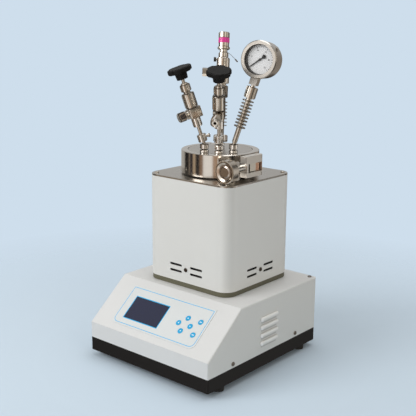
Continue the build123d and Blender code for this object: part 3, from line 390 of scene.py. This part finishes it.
clampSteel = {"base": (0.64, 0.60, 0.55, 1), "rough": 0.17, "lineScale": 1800.0, "spread": 0.05}
finishes["plate_steel"] = brushed("brushedTopPlate", (0.56, 0.53, 0.49, 1), 0.28)
finishes["vessel_steel"] = turned("turnedHead", (0.58, 0.55, 0.51, 1), 0.32)
finishes["clamp_steel"] = turned("turnedClampSteel", **clampSteel)
finishes["gauge_steel"] = steel("polishedGaugeSteel", (0.54, 0.51, 0.47, 1), 0.26, 0.06)
finishes["dark_screw"] = steel("caseScrew", (0.26, 0.235, 0.21, 1), 0.38)
finishes["motor_steel"] = steel("zincPlate", (0.55, 0.55, 0.56, 1), 0.35)
finishes["rotor_aluminium"] = steel("machinedAluminium", (0.75, 0.75, 0.76, 1), 0.32)
finishes["block_aluminium"] = steel("castBlock", (0.66, 0.66, 0.67, 1), 0.42)
finishes["heater_band"] = steel("bandHeaterSteel", (0.45, 0.43, 0.40, 1), 0.38)
finishes["sensor_steel"] = steel("sensorSheath", (0.6, 0.6, 0.6, 1), 0.3)
finishes["seal_wire"] = steel("sealWire", (0.25, 0.22, 0.20, 1), 0.4)

# seams, threads and fins are measured along each fitting's line from its bend, the ports' seams in height; the
# edges and fins get painted shade, the ports a painted highlight
fittings = {
    "bright": (0.74, 0.69, 0.62, 1.0),
    "shaded": (0.10, 0.085, 0.07, 1.0),
    "wear": 0.14,
    "roughness": 0.19,
    "unevenness": 0.14,
    "edgeStart": 0.5,
    "edgeEnd": 0.92,
    "edgeShadeShare": 0.75,
    "seam": 0.0006,
    "seamShare": 0.8,
    "valveSeams": (0.0365, 0.053, 0.0716, 0.0735, 0.0985, 0.103, 0.115),
    "valveThread": (0.0985, 0.103),
    "threadPitch": 0.001,
    "threadShare": 0.7,
    "reliefSeams": (0.1546, 0.1637, 0.1643, 0.1697, 0.1747, 0.1910),
    "finReach": 0.0052,
    "finEnd": 0.086,
    "finShadeShare": 0.62,
    "portHighlight": (0.97, 0.95, 0.92, 1.0),
    "portHighlightShare": 0.8,
    "portSeams": ((0.3879, 0.3889), (0.3929, 0.3953), (0.4030, 0.4045)),
    "portSeamShare": 0.95,
    "knobStart": 0.143,
    "knobReach": 0.0131,
    "knobTone": (0.02, 0.018, 0.016, 1),
    "knobPaint": 0.9,
    "swell": 85.0,
    "swellDepth": 0.00016,
    "crownRadius": 0.0085,
    "plainSwellDepth": 0.0011,
}


# across a crowned piece the normal turns as on a round bar along the nearest of its lines
def crownHeight(finish, swell, lines):
    nearest = 1.0
    for place, direction in lines:
        distance = finish.fromAxis(place, direction)
        nearest = (distance * distance).atMost(nearest)
    return swell * fittings["swellDepth"] - nearest * (0.5 / fittings["crownRadius"])


def fittingSteel(name, line=None, fins=False, knob=False, crowned=(), ports=False, seams=(), thread=None):
    size = fittings
    finish = Finish(name)
    cloud = finish.noise(60.0, 5.0, 0.6)
    swell = finish.noise(size["swell"], 1.0)
    facing = finish.out(finish.add("ShaderNodeLayerWeight", {}, {"Blend": 0.5}), "Facing")
    tone = finish.mix(cloud, darker(size["bright"], size["wear"]), size["bright"])
    # painted shade on faces turned away from the view, towards the edges
    dark = facing.ramp(size["edgeStart"], size["edgeEnd"]) * size["edgeShadeShare"]
    metallic = 1.0
    if line:
        run = finish.along(*line)
        for seam in seams:
            dark = dark.atLeast((abs(run - seam) < size["seam"]) * size["seamShare"])
    if fins:
        # painted shade on the fins
        past = (finish.fromAxis(*line) > size["finReach"]) * (run < size["finEnd"])
        dark = dark.atLeast(past * size["finShadeShare"])
    if thread:
        ridges = (run * (2 * math.pi / size["threadPitch"])).sine() > 0.0
        dark = dark.atLeast(ridges * run.within(*thread) * size["threadShare"])
    if ports:
        # the ports get a lighter copy of the steel, a painted highlight
        tone = finish.mix(size["portHighlightShare"], tone, size["portHighlight"])
        for low, high in size["portSeams"]:
            dark = dark.atLeast(finish.z.within(low, high) * size["portSeamShare"])
    tone = finish.mix(dark, tone, size["shaded"])
    if knob:
        reach = finish.along(line[0], machine["reliefSide"])
        painted = (reach > size["knobReach"]) * (run > size["knobStart"])
        tone = finish.mix(painted, tone, size["knobTone"])
        metallic = 1.0 - painted * size["knobPaint"]
    roughness = (cloud - 0.5) * size["unevenness"] + size["roughness"]
    finish.set(Base_Color=tone, Metallic=metallic, Roughness=roughness)
    if crowned:
        finish.bump(crownHeight(finish, swell, crowned), 1.0, 1.0)
    else:
        finish.bump(swell, 0.5, size["plainSwellDepth"])
    return finish.material


finishes["fitting_steel"] = fittingSteel("brightFittingSteel")

# faceStart is how far the outer face lies along the nut's line from the joint's place
handNut = {
    "steel": (0.66, 0.60, 0.53, 1.0),
    "shade": (0.17, 0.13, 0.10, 1.0),
    "shadeShare": 0.85,
    "dishSteel": (0.42, 0.37, 0.33, 1.0),
    "dishRadius": 0.0136,
    "shadeRing": (0.0170, 0.0185),
    "faceStart": 0.0125,
    "lines": 2400.0,
}


def handNutFinish():
    finish = Finish("handNutSteel")
    line = jointLine("nut_turn")
    radius = finish.fromAxis(*line)
    onFace = finish.along(*line) > handNut["faceStart"]
    lines = finish.noise(1.0, 3.0, 0.6, finish.combine(radius * handNut["lines"], 0.0, 0.0))
    cloud = finish.noise(40.0, 3.0)
    # a ring of painted shade on the nut's face
    shadeRing = radius.within(*handNut["shadeRing"]) * onFace * handNut["shadeShare"]
    tone = finish.mix(shadeRing, handNut["steel"], handNut["shade"])
    tone = finish.mix((radius < handNut["dishRadius"]) * onFace, tone, handNut["dishSteel"])
    finish.set(Base_Color=tone, Metallic=1.0, Roughness=(lines - 0.5) * 0.06 + (cloud - 0.5) * 0.1 + 0.22)
    finish.bump(lines, 0.3, turning["depth"])
    return finish.material


moulding = {"cloud": 30.0, "grain": 1400.0, "depth": 0.00003, "unevenness": 0.1}


def moulded(name, base, rough, coat=0.0, grain=moulding["grain"], depth=moulding["depth"], shine=0.5):
    finish = Finish(name)
    cloud = finish.noise(moulding["cloud"], 3.0)
    light = tuple(min(1.0, part * 1.25 + 0.004) for part in base[:3]) + (1.0,)
    finish.set(
        Base_Color=finish.mix(cloud * 0.5, base, light),
        Roughness=(cloud - 0.5) * moulding["unevenness"] + rough,
        Coat_Weight=coat,
        Specular_IOR_Level=shine,
    )
    finish.bump(finish.noise(grain, 2.0), 0.3, depth)
    return finish.material


finishes["black_rubber"] = moulded("footRubber", colour(24, 24, 24), 0.7)
finishes["black_plastic"] = moulded("blackPlastic", colour(26, 26, 27), 0.5)
finishes["black_gloss"] = moulded("rockerPlastic", colour(20, 20, 20), 0.25, 0.3)
finishes["wheel_black"] = moulded("handwheelPlastic", colour(22, 22, 22), 0.42, 0.15)
finishes["circuit_board"] = moulded("circuitBoard", (0.03, 0.18, 0.08, 1), 0.4)
finishes["insulation_wool"] = moulded("shadedWool", (0.035, 0.032, 0.03, 1), 0.9, 0, 300.0, 0.0006)
finishes["liner_white"] = moulded("linerPolymer", (0.88, 0.88, 0.87, 1), 0.45)
finishes["seal_black"] = moulded("sealCompound", (0.03, 0.03, 0.03, 1), 0.55)
finishes["pointer_black"] = moulded("pointerBlack", (0.002, 0.002, 0.002, 1), 0.6, shine=0.1)
finishes["band_pink"] = moulded("magentaBand", colour(226, 48, 150), 0.3, 0.4)
finishes["display_glass"] = moulded("displayTint", colour(24, 30, 60), 0.12, 0.6)

gaugeGlass = {"smear": 40.0, "opacity": 0.025, "bending": 1.45}


def glassFinish():
    finish = Finish("gaugeGlass")
    smear = finish.noise(gaugeGlass["smear"], 2.0)
    finish.set(
        Base_Color=(1.0, 1.0, 1.0, 1.0),
        Roughness=smear * 0.04 + 0.01,
        Alpha=gaugeGlass["opacity"],
        IOR=gaugeGlass["bending"],
    )
    return finish.material


finishes["gauge_glass"] = glassFinish()

# the panel's print, in metres along the slope: x across, v up the slope
panelPrint = {
    "frameHalfWidth": 0.098,
    "frameLow": 0.0173,
    "frameHigh": 0.094,
    "frameCorner": 0.009,
    "frameFoot": 0.0006,
    "frameLine": 0.00055,
    "displayX": -0.038,
    "displayV": 0.053,
    "displayHalfWidth": 0.0415,
    "displayHalfHeight": 0.0234,
    "displayLine": 0.0015,
    "keyPadX": 0.0553,
    "keyPadV": 0.053,
    "keyPadReach": 0.0136,
    "keyColumnX": 0.0845,
    "arrowBack": 0.0011,
    "arrowTip": 0.0016,
    "arrowSpread": 0.62,
    "barHalfLength": 0.0025,
    "barHalfWidth": 0.0008,
    "film": colour(223, 227, 228),
    "ink": colour(22, 178, 236),
    "white": colour(236, 246, 250),
}


def upSlope(finish):
    length = math.hypot(machine["slopeRun"], machine["slopeRise"])
    direction = (0, machine["slopeRun"] / length, machine["slopeRise"] / length)
    return finish.along((0, machine["creaseY"], machine["creaseZ"]), direction)


def panelFilm():
    size = panelPrint
    finish = Finish("panelFilm")
    v = upSlope(finish)
    middle = (size["frameLow"] + size["frameHigh"]) / 2
    corner = (v < middle) * size["frameCorner"] + size["frameFoot"]
    sideways = abs(finish.x) - size["frameHalfWidth"] + corner
    upward = abs(v - middle) - (size["frameHigh"] - middle) + corner
    outward = (sideways.atLeast(0.0) ** 2.0 + upward.atLeast(0.0) ** 2.0).root()
    edge = outward + sideways.atLeast(upward).atMost(0.0) - corner
    frameLine = abs(edge) < size["frameLine"]
    pastSide = abs(finish.x - size["displayX"]) - size["displayHalfWidth"]
    pastTop = abs(v - size["displayV"]) - size["displayHalfHeight"]
    printed = frameLine.atLeast(pastSide.atLeast(pastTop) < size["displayLine"])
    cloud = finish.noise(20.0, 3.0)
    finish.set(
        Base_Color=finish.mix(
            printed, finish.mix(cloud, darker(size["film"], 0.04), size["film"]), size["ink"]
        ),
        Roughness=(cloud - 0.5) * 0.06 + 0.34,
        Coat_Weight=0.2,
    )
    finish.bump(finish.noise(1500.0, 2.0), 0.15, 0.00002)
    return finish.material


def keyPrint():
    size = panelPrint
    finish = Finish("keyInk")
    v = upSlope(finish)
    glyph = 0.0
    for x, y in ((0, 1), (0, -1), (-1, 0), (1, 0)):
        across = finish.x - (size["keyPadX"] + x * size["keyPadReach"])
        upward = v - (size["keyPadV"] + y * size["keyPadReach"])
        ahead = across * x + upward * y
        aside = abs(across * y - upward * x)
        arrow = (ahead > -size["arrowBack"]) * (aside < (size["arrowTip"] - ahead) * size["arrowSpread"])
        glyph = arrow + glyph
    for y in (1, -1):
        across = abs(finish.x - size["keyColumnX"])
        upward = v - (size["keyPadV"] + y * size["keyPadReach"])
        glyph = (across < size["barHalfLength"]) * (abs(upward) < size["barHalfWidth"]) + glyph
    cloud = finish.noise(60.0, 2.0)
    ink = finish.mix(cloud, darker(size["ink"], 0.15), size["ink"])
    finish.set(
        Base_Color=finish.mix(glyph.atMost(1.0), ink, size["white"]),
        Roughness=(cloud - 0.5) * 0.08 + 0.32,
        Coat_Weight=0.25,
    )
    return finish.material


finishes["panel_film"] = panelFilm()
finishes["key_cyan"] = keyPrint()

# lengths in metres, angles in degrees round the gauge's middle
dialPrint = {
    "radius": 0.0265,
    "rimWidth": 0.0012,
    "tickOuter": 0.0236,
    "tickInner": 0.0216,
    "longTickInner": 0.0200,
    "tickHalfAngle": 0.8,
    "longTickHalfAngle": 1.3,
    "ringWidth": 0.0004,
    "firstTick": 142.0,
    "sweep": 270.0,
    "sweepMargin": 0.6,
    "divisions": 25,
    "longEvery": 5,
    "ink": colour(22, 22, 22),
    "shadow": colour(60, 60, 60),
    "shadowStart": 0.0250,
    "shadowEnd": 0.0262,
    "shadowLean": (0.096, -0.056),  # the bezel's shadow reaches further in on one side
}


def dialFace():
    size = dialPrint
    finish = Finish("dialFace")
    across = finish.along(gaugeCentre, gaugeNormal.cross(gaugeUp))
    upward = finish.along(gaugeCentre, gaugeUp)
    away = (across * across + upward * upward).root()
    turn = across.angle(upward) * (180 / math.pi)
    past = (size["firstTick"] - turn).wrap(360.0)
    inSweep = past < size["sweep"] + size["sweepMargin"]
    small = size["sweep"] / size["divisions"]
    long = small * size["longEvery"]
    nearSmall = abs((past + small / 2).wrap(small) - small / 2) < size["tickHalfAngle"]
    nearLong = abs((past + long / 2).wrap(long) - long / 2) < size["longTickHalfAngle"]
    ticks = nearSmall * away.within(size["tickInner"], size["tickOuter"])
    longTicks = nearLong * away.within(size["longTickInner"], size["tickOuter"])
    ring = away.within(size["tickOuter"], size["tickOuter"] + size["ringWidth"])
    ink = (ticks.atLeast(longTicks).atLeast(ring)) * inSweep
    rim = away > size["radius"] - size["rimWidth"]
    face = finish.mix(finish.noise(40.0, 2.0), colour(232, 234, 238), colour(240, 242, 245))
    lean = across * size["shadowLean"][0] + upward * size["shadowLean"][1]
    face = finish.mix((away + lean).ramp(size["shadowStart"], size["shadowEnd"]), face, size["shadow"])
    finish.set(Base_Color=finish.mix(ink.atLeast(rim), face, size["ink"]), Roughness=0.5)
    return finish.material


finishes["dial_white"] = dialFace()

# the bright spindle end shows in the middle of the black wheel
handwheel = {
    "spindleRadius": 0.0036,
    "spindleEnd": 0.1262,
    "spindleSteel": (0.62, 0.58, 0.52, 1.0),
    "dark": colour(13, 13, 14),
    "light": colour(21, 21, 22),
    "roughness": 0.56,
    "polish": 0.32,
    "shine": 0.2,
}


def handwheelFinish(name, line):
    finish = Finish(name)
    inSpindle = finish.fromAxis(*line) < handwheel["spindleRadius"]
    metal = inSpindle * (finish.along(*line) < handwheel["spindleEnd"])
    cloud = finish.noise(30.0, 3.0)
    black = finish.mix(cloud, handwheel["dark"], handwheel["light"])
    finish.set(
        Base_Color=finish.mix(metal, black, handwheel["spindleSteel"]),
        Metallic=metal,
        Roughness=(cloud - 0.5) * 0.1 + handwheel["roughness"] - metal * handwheel["polish"],
        Specular_IOR_Level=handwheel["shine"],
    )
    finish.bump(finish.noise(1400.0, 2.0), 0.25, 0.00003)
    return finish.material


# the screws in the furnace's top are brighter than those in its walls
furnaceScrew = {
    "topStart": 0.340,
    "dark": (0.05, 0.04, 0.032, 1),
    "light": (0.12, 0.09, 0.07, 1),
    "topSteel": (0.55, 0.52, 0.47, 1),
    "roughness": 0.34,
}


def screwFinish():
    finish = Finish("furnaceScrew")
    cloud = finish.noise(200.0, 3.0)
    dark = finish.mix(cloud, furnaceScrew["dark"], furnaceScrew["light"])
    finish.set(
        Base_Color=finish.mix(finish.z > furnaceScrew["topStart"], dark, furnaceScrew["topSteel"]),
        Metallic=1.0,
        Roughness=(cloud - 0.5) * 0.2 + furnaceScrew["roughness"],
    )
    return finish.material


leaningLines = [leftValve, frontValve, reliefLine]
portLines = [(place, (0.0, 0.0, 1.0)) for place, direction in leaningLines + [gaugeLine]]

# nodes whose finish differs from the rest of their slot
ownFinish = {
    "base_cover": powder("baseCoverCoat", **whiteCoat, marks=louvrePaintedLight),
    "furnace_screws": screwFinish(),
    "clamp_rear_half": turned("rearClampSteel", **clampSteel, marks=tongueColoursAndPaintedShadow),
    "swing_bolt": steel("swingBoltSteel", (0.84, 0.81, 0.76, 1), 0.42, 0.08, polishedBefore=0.0034),
    "hand_nut": handNutFinish(),
    "port_adapters": fittingSteel("portAdapterSteel", crowned=portLines, ports=True),
    "pipe_nuts": fittingSteel("pipeNutSteel", crowned=portLines + leaningLines, ports=True),
    "relief_pipe": fittingSteel("reliefFins", reliefLine, fins=True),
    "relief_body": fittingSteel("reliefSteel", reliefLine, knob=True),
    "relief_bonnet": fittingSteel(
        "reliefBonnetSteel", reliefLine, crowned=[reliefLine], seams=fittings["reliefSeams"]
    ),
    "gauge_pipe": fittingSteel("gaugeFins", gaugeLine, fins=True, crowned=[gaugeLine]),
}
for side, line in (("left", leftValve), ("front", frontValve)):
    marks = {"seams": fittings["valveSeams"], "thread": fittings["valveThread"]}
    ownFinish[side + "_valve_handwheel"] = handwheelFinish(side + "ValveWheel", line)
    ownFinish[side + "_valve_body"] = fittingSteel(side + "ValveBody", line, **marks)
    ownFinish[side + "_valve_bonnet"] = fittingSteel(side + "ValveBonnet", line, crowned=[line], **marks)
print("finishes made:", len(finishes), "for slots and", len(ownFinish), "for single nodes")

slotOf = {entry["node"]: entry["material_slot"] for entry in frame["record"]["subparts"]}
for nodeName, node in nodes.items():
    node.data.materials.clear()
    node.data.materials.append(ownFinish.get(nodeName, finishes[slotOf[nodeName]]))
print("finishes applied to", len(nodes), "nodes")


def addObject(name, data):
    made = bpy.data.objects.new(name, data)
    bpy.context.scene.collection.objects.link(made)
    return made


def addPiece(name, shape, material):
    mesh = bpy.data.meshes.new(name)
    shape.to_mesh(mesh)
    shape.free()
    mesh.materials.append(material)
    return addObject(name, mesh)


dialNumbers = {"height": 0.0036, "reach": 0.0165, "lift": 0.00015, "thickness": 0.0001, "step": 5}


def writtenNumber(text):
    curve = bpy.data.curves.new("number", "FONT")
    curve.body = text
    curve.size = dialNumbers["height"]
    curve.extrude = dialNumbers["thickness"]
    curve.align_x = "CENTER"
    curve.align_y = "CENTER"
    written = addObject("number", curve)
    bpy.context.view_layer.update()
    shown = written.evaluated_get(bpy.context.evaluated_depsgraph_get())
    mesh = bpy.data.meshes.new_from_object(shown)
    bpy.data.objects.remove(written)
    return mesh


def makeDialNumbers():
    right = gaugeUp.cross(gaugeNormal)
    heights = [(vertex.co - gaugeCentre).dot(gaugeNormal) for vertex in nodes["gauge_dial"].data.vertices]
    middle = gaugeCentre + gaugeNormal * (max(heights) + dialNumbers["lift"])
    turn = Matrix((right, gaugeUp, gaugeNormal)).transposed().to_4x4()
    whole = bmesh.new()
    steps = dialPrint["divisions"] // dialPrint["longEvery"]
    for step in range(steps + 1):
        mesh = writtenNumber(str(step * dialNumbers["step"]))
        angle = math.radians(dialPrint["firstTick"] - step * dialPrint["sweep"] / steps)
        place = middle + (gaugeUp * math.cos(angle) - right * math.sin(angle)) * dialNumbers["reach"]
        mesh.transform(Matrix.Translation(place) @ turn)
        whole.from_mesh(mesh)
        bpy.data.meshes.remove(mesh)
    bmesh.ops.recalc_face_normals(whole, faces=whole.faces)
    numbers = addPiece("gaugeNumbers", whole, finishes["pointer_black"])
    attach(numbers, "reactor")


makeDialNumbers()

# half of the blade's outline: how far along the pointer, and half its width there
pointerShape = {
    "outline": [(-0.0126, 0.0014), (-0.0098, 0.0042), (-0.0056, 0.0012), (0.0, 0.0012), (0.0245, 0.0006)],
    "hubRadius": 0.0020,
    "shaftRadius": 0.0012,
    "bladeReach": 0.005,
}


# the slim pointer keeps the direction, the levels and the shaft of the node it takes the place of
def makePointer():
    normal = gaugeNormal.normalized()
    corners = [vertex.co - gaugeCentre for vertex in nodes["gauge_pointer"].data.vertices]
    heights = [corner.dot(normal) for corner in corners]
    flat = [corner - normal * height for corner, height in zip(corners, heights)]
    along = max(flat, key=lambda corner: corner.length).normalized()
    across = normal.cross(along)
    blade = [height for height, corner in zip(heights, flat) if corner.length > pointerShape["bladeReach"]]
    low, high = min(blade), max(blade)
    whole = bmesh.new()
    oneSide = pointerShape["outline"]
    outline = oneSide + [(reach, -half) for reach, half in reversed(oneSide)]
    base = gaugeCentre + normal * low
    rim = [whole.verts.new(base + along * reach + across * half) for reach, half in outline]
    raised = bmesh.ops.extrude_face_region(whole, geom=[whole.faces.new(rim)])["geom"]
    moved = [item for item in raised if isinstance(item, bmesh.types.BMVert)]
    bmesh.ops.translate(whole, verts=moved, vec=normal * (high - low))
    turn = Matrix((along, across, normal)).transposed().to_4x4()
    for radius, start, end in (
        (pointerShape["hubRadius"], low, max(heights)),
        (pointerShape["shaftRadius"], min(heights), low),
    ):
        bmesh.ops.create_cone(
            whole,
            cap_ends=True,
            segments=32,
            radius1=radius,
            radius2=radius,
            depth=end - start,
            matrix=Matrix.Translation(gaugeCentre + normal * (start + end) / 2) @ turn,
        )
    bmesh.ops.recalc_face_normals(whole, faces=whole.faces)
    pointer = addPiece("slimPointer", whole, finishes["pointer_black"])
    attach(pointer, "pointer")
    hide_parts("gauge_pointer")


makePointer()
print("dial numbers and pointer made")

surroundings = {
    "backdrop": colour(206, 222, 236),
    "ambient": (1.0, 0.985, 0.95, 1.0),
    "ambientStrength": 0.46,
}
paleFloor = {
    "halfSide": 2.0,
    "fadeStart": 0.32,
    "fadeEnd": 0.95,
    "grain": 3.0,
    "paler": 1.02,
    "roughness": 0.9,
    "shine": 0.1,
}


# the floor fades out with distance, and metal doesn't mirror it
def makeFloor():
    finish = Finish("paleFloor")
    base = surroundings["backdrop"]
    pale = tuple(min(1.0, part * paleFloor["paler"]) for part in base[:3]) + (1.0,)
    finish.set(
        Base_Color=finish.mix(finish.noise(paleFloor["grain"], 2.0), base, pale),
        Roughness=paleFloor["roughness"],
        Specular_IOR_Level=paleFloor["shine"],
    )
    away = (finish.x * finish.x + finish.y * finish.y).root()
    mirrored = finish.out(finish.add("ShaderNodeLightPath", {}, {}), "Is Glossy Ray")
    clear = finish.add("ShaderNodeBsdfTransparent", {}, {})
    gone = away.ramp(paleFloor["fadeStart"], paleFloor["fadeEnd"]).atLeast(mirrored)
    values = {0: gone, 1: finish.out(finish.shader, 0), 2: finish.out(clear, 0)}
    fade = finish.add("ShaderNodeMixShader", {}, values)
    finish.feed(finish.tree.nodes["Material Output"].inputs["Surface"], finish.out(fade, 0))
    shape = bmesh.new()
    bmesh.ops.create_grid(shape, x_segments=1, y_segments=1, size=paleFloor["halfSide"])
    floor = addPiece("floor", shape, finish.material)


makeFloor()

# what bright metal sees around it: (direction in degrees, half width, colour)
reflectedBands = [
    (152, 30, (0.50, 0.49, 0.46)),
    (-166, 11, (0.015, 0.015, 0.015)),
    (-152, 3, (0.30, 0.25, 0.20)),
    (-143, 6, (0.02, 0.02, 0.03)),
    (-132, 5, (0.60, 0.46, 0.32)),
    (-120, 7, (0.012, 0.015, 0.02)),
    (-107, 6, (0.30, 0.19, 0.12)),
    (-86, 15, (1.10, 1.08, 1.05)),
    (-63, 8, (0.50, 0.34, 0.23)),
    (-38, 14, (0.30, 0.27, 0.23)),
    (-12, 10, (0.04, 0.035, 0.03)),
    (12, 11, (0.42, 0.36, 0.29)),
    (38, 12, (0.85, 0.82, 0.78)),
    (62, 10, (0.03, 0.03, 0.03)),
    (90, 14, (0.34, 0.30, 0.26)),
    (116, 10, (0.05, 0.045, 0.04)),
]

# the wall that carries the bands, with one pale patch high up behind the reactor
reflectedWall = {
    "radius": 4.0,
    "height": 7.0,
    "segments": 96,
    "between": (0.20, 0.17, 0.14, 1.0),
    "softEdge": 1.5,
    "patch": (0.57, 0.57, 0.565, 1.0),
    "patchDirection": 130,
    "patchHalfWidth": (30.0, 42.0),
    "patchLow": 0.45,
    "patchFull": 0.8,
}


def makeReflectedWall():
    size = reflectedWall
    finish = Finish("reflectedWall")
    turn = finish.y.angle(finish.x) * (180 / math.pi)

    def off(direction):
        return abs((turn - direction + 180).wrap(360.0) - 180)

    shade = size["between"]
    for direction, halfWidth, tone in reflectedBands:
        inside = 1.0 - off(direction).ramp(halfWidth - size["softEdge"], halfWidth + size["softEdge"])
        shade = finish.mix(inside, shade, tone + (1.0,))
    behind = 1.0 - off(size["patchDirection"]).ramp(*size["patchHalfWidth"])
    shade = finish.mix(finish.z.ramp(size["patchLow"], size["patchFull"]) * behind, shade, size["patch"])
    finish.set(
        Base_Color=(0, 0, 0, 1),
        Emission_Color=shade,
        Emission_Strength=1.0,
        Roughness=1.0,
        Specular_IOR_Level=0.0,
    )
    shape = bmesh.new()
    bmesh.ops.create_cone(
        shape,
        cap_ends=False,
        segments=size["segments"],
        radius1=size["radius"],
        radius2=size["radius"],
        depth=size["height"],
    )
    wall = addPiece("reflectedWall", shape, finish.material)
    wall.visible_camera = False
    wall.visible_diffuse = False
    wall.visible_transmission = False
    wall.visible_volume_scatter = False
    wall.visible_shadow = False


makeReflectedWall()

lamps = {
    "keyLamp": {
        "place": (-1.1, -2.1, 1.5),
        "target": (0, 0, 0.25),
        "size": (1.4, 1.4),
        "power": 35.0,
        "tint": (1, 0.995, 0.985),
    },
    "fillLamp": {
        "place": (2.2, -0.6, 1.2),
        "target": (0, 0, 0.3),
        "size": (1.0, 1.6),
        "power": 5.0,
        "tint": (1, 0.93, 0.80),
    },
    "topLamp": {
        "place": (0.1, 0.2, 2.2),
        "target": (0, 0, 0.2),
        "size": (1.2, 1.2),
        "power": 11.0,
        "tint": (1, 1, 1),
    },
}


def makeLamp(name, place, target, size, power, tint):
    lamp = bpy.data.lights.new(name, "AREA")
    lamp.shape = "RECTANGLE"
    lamp.size, lamp.size_y = size
    lamp.energy = power
    lamp.color = tint
    aim = (Vector(target) - Vector(place)).to_track_quat("-Z", "Y")
    addObject(name, lamp).matrix_world = Matrix.Translation(Vector(place)) @ aim.to_matrix().to_4x4()


for lampName, lampValues in lamps.items():
    makeLamp(lampName, **lampValues)


# camera rays and rays through glass see the backdrop, all others the ambient light
def makeWorld():
    world = bpy.data.worlds.new("studio")
    bpy.context.scene.world = world
    world.use_nodes = True
    world.node_tree.nodes.clear()
    sky = NodeTree(world.node_tree)
    path = sky.add("ShaderNodeLightPath", {}, {})
    seen = sky.out(path, "Is Camera Ray").atLeast(sky.out(path, "Is Transmission Ray"))
    light = {"Color": surroundings["ambient"], "Strength": surroundings["ambientStrength"]}
    ambient = sky.add("ShaderNodeBackground", {}, light)
    shown = sky.add("ShaderNodeBackground", {}, {"Color": surroundings["backdrop"], "Strength": 1.0})
    blend = sky.add("ShaderNodeMixShader", {}, {0: seen, 1: sky.out(ambient, 0), 2: sky.out(shown, 0)})
    sky.add("ShaderNodeOutputWorld", {}, {"Surface": sky.out(blend, 0)})


makeWorld()

# place in metres, angles in degrees, lens and sensor in millimetres
lens = {
    "place": (0.9634, -1.1205, 0.6407),
    "azimuth": 40.51,
    "elevation": 13.65,
    "roll": 0.41,
    "focal": 70.927,
    "sensor": 36.0,
}


def makeCamera():
    data = bpy.data.cameras.new("camera")
    data.sensor_width = lens["sensor"]
    data.sensor_fit = "HORIZONTAL"
    data.lens = lens["focal"]
    camera = addObject("camera", data)
    turn = Matrix.Rotation(math.radians(lens["azimuth"]), 4, "Z")
    tilt = Matrix.Rotation(math.radians(90 - lens["elevation"]), 4, "X")
    roll = Matrix.Rotation(math.radians(lens["roll"]), 4, "Z")
    camera.matrix_world = Matrix.Translation(Vector(lens["place"])) @ turn @ tilt @ roll
    bpy.context.scene.camera = camera


makeCamera()
bpy.context.scene.view_settings.view_transform = "Standard"
print("studio ready")
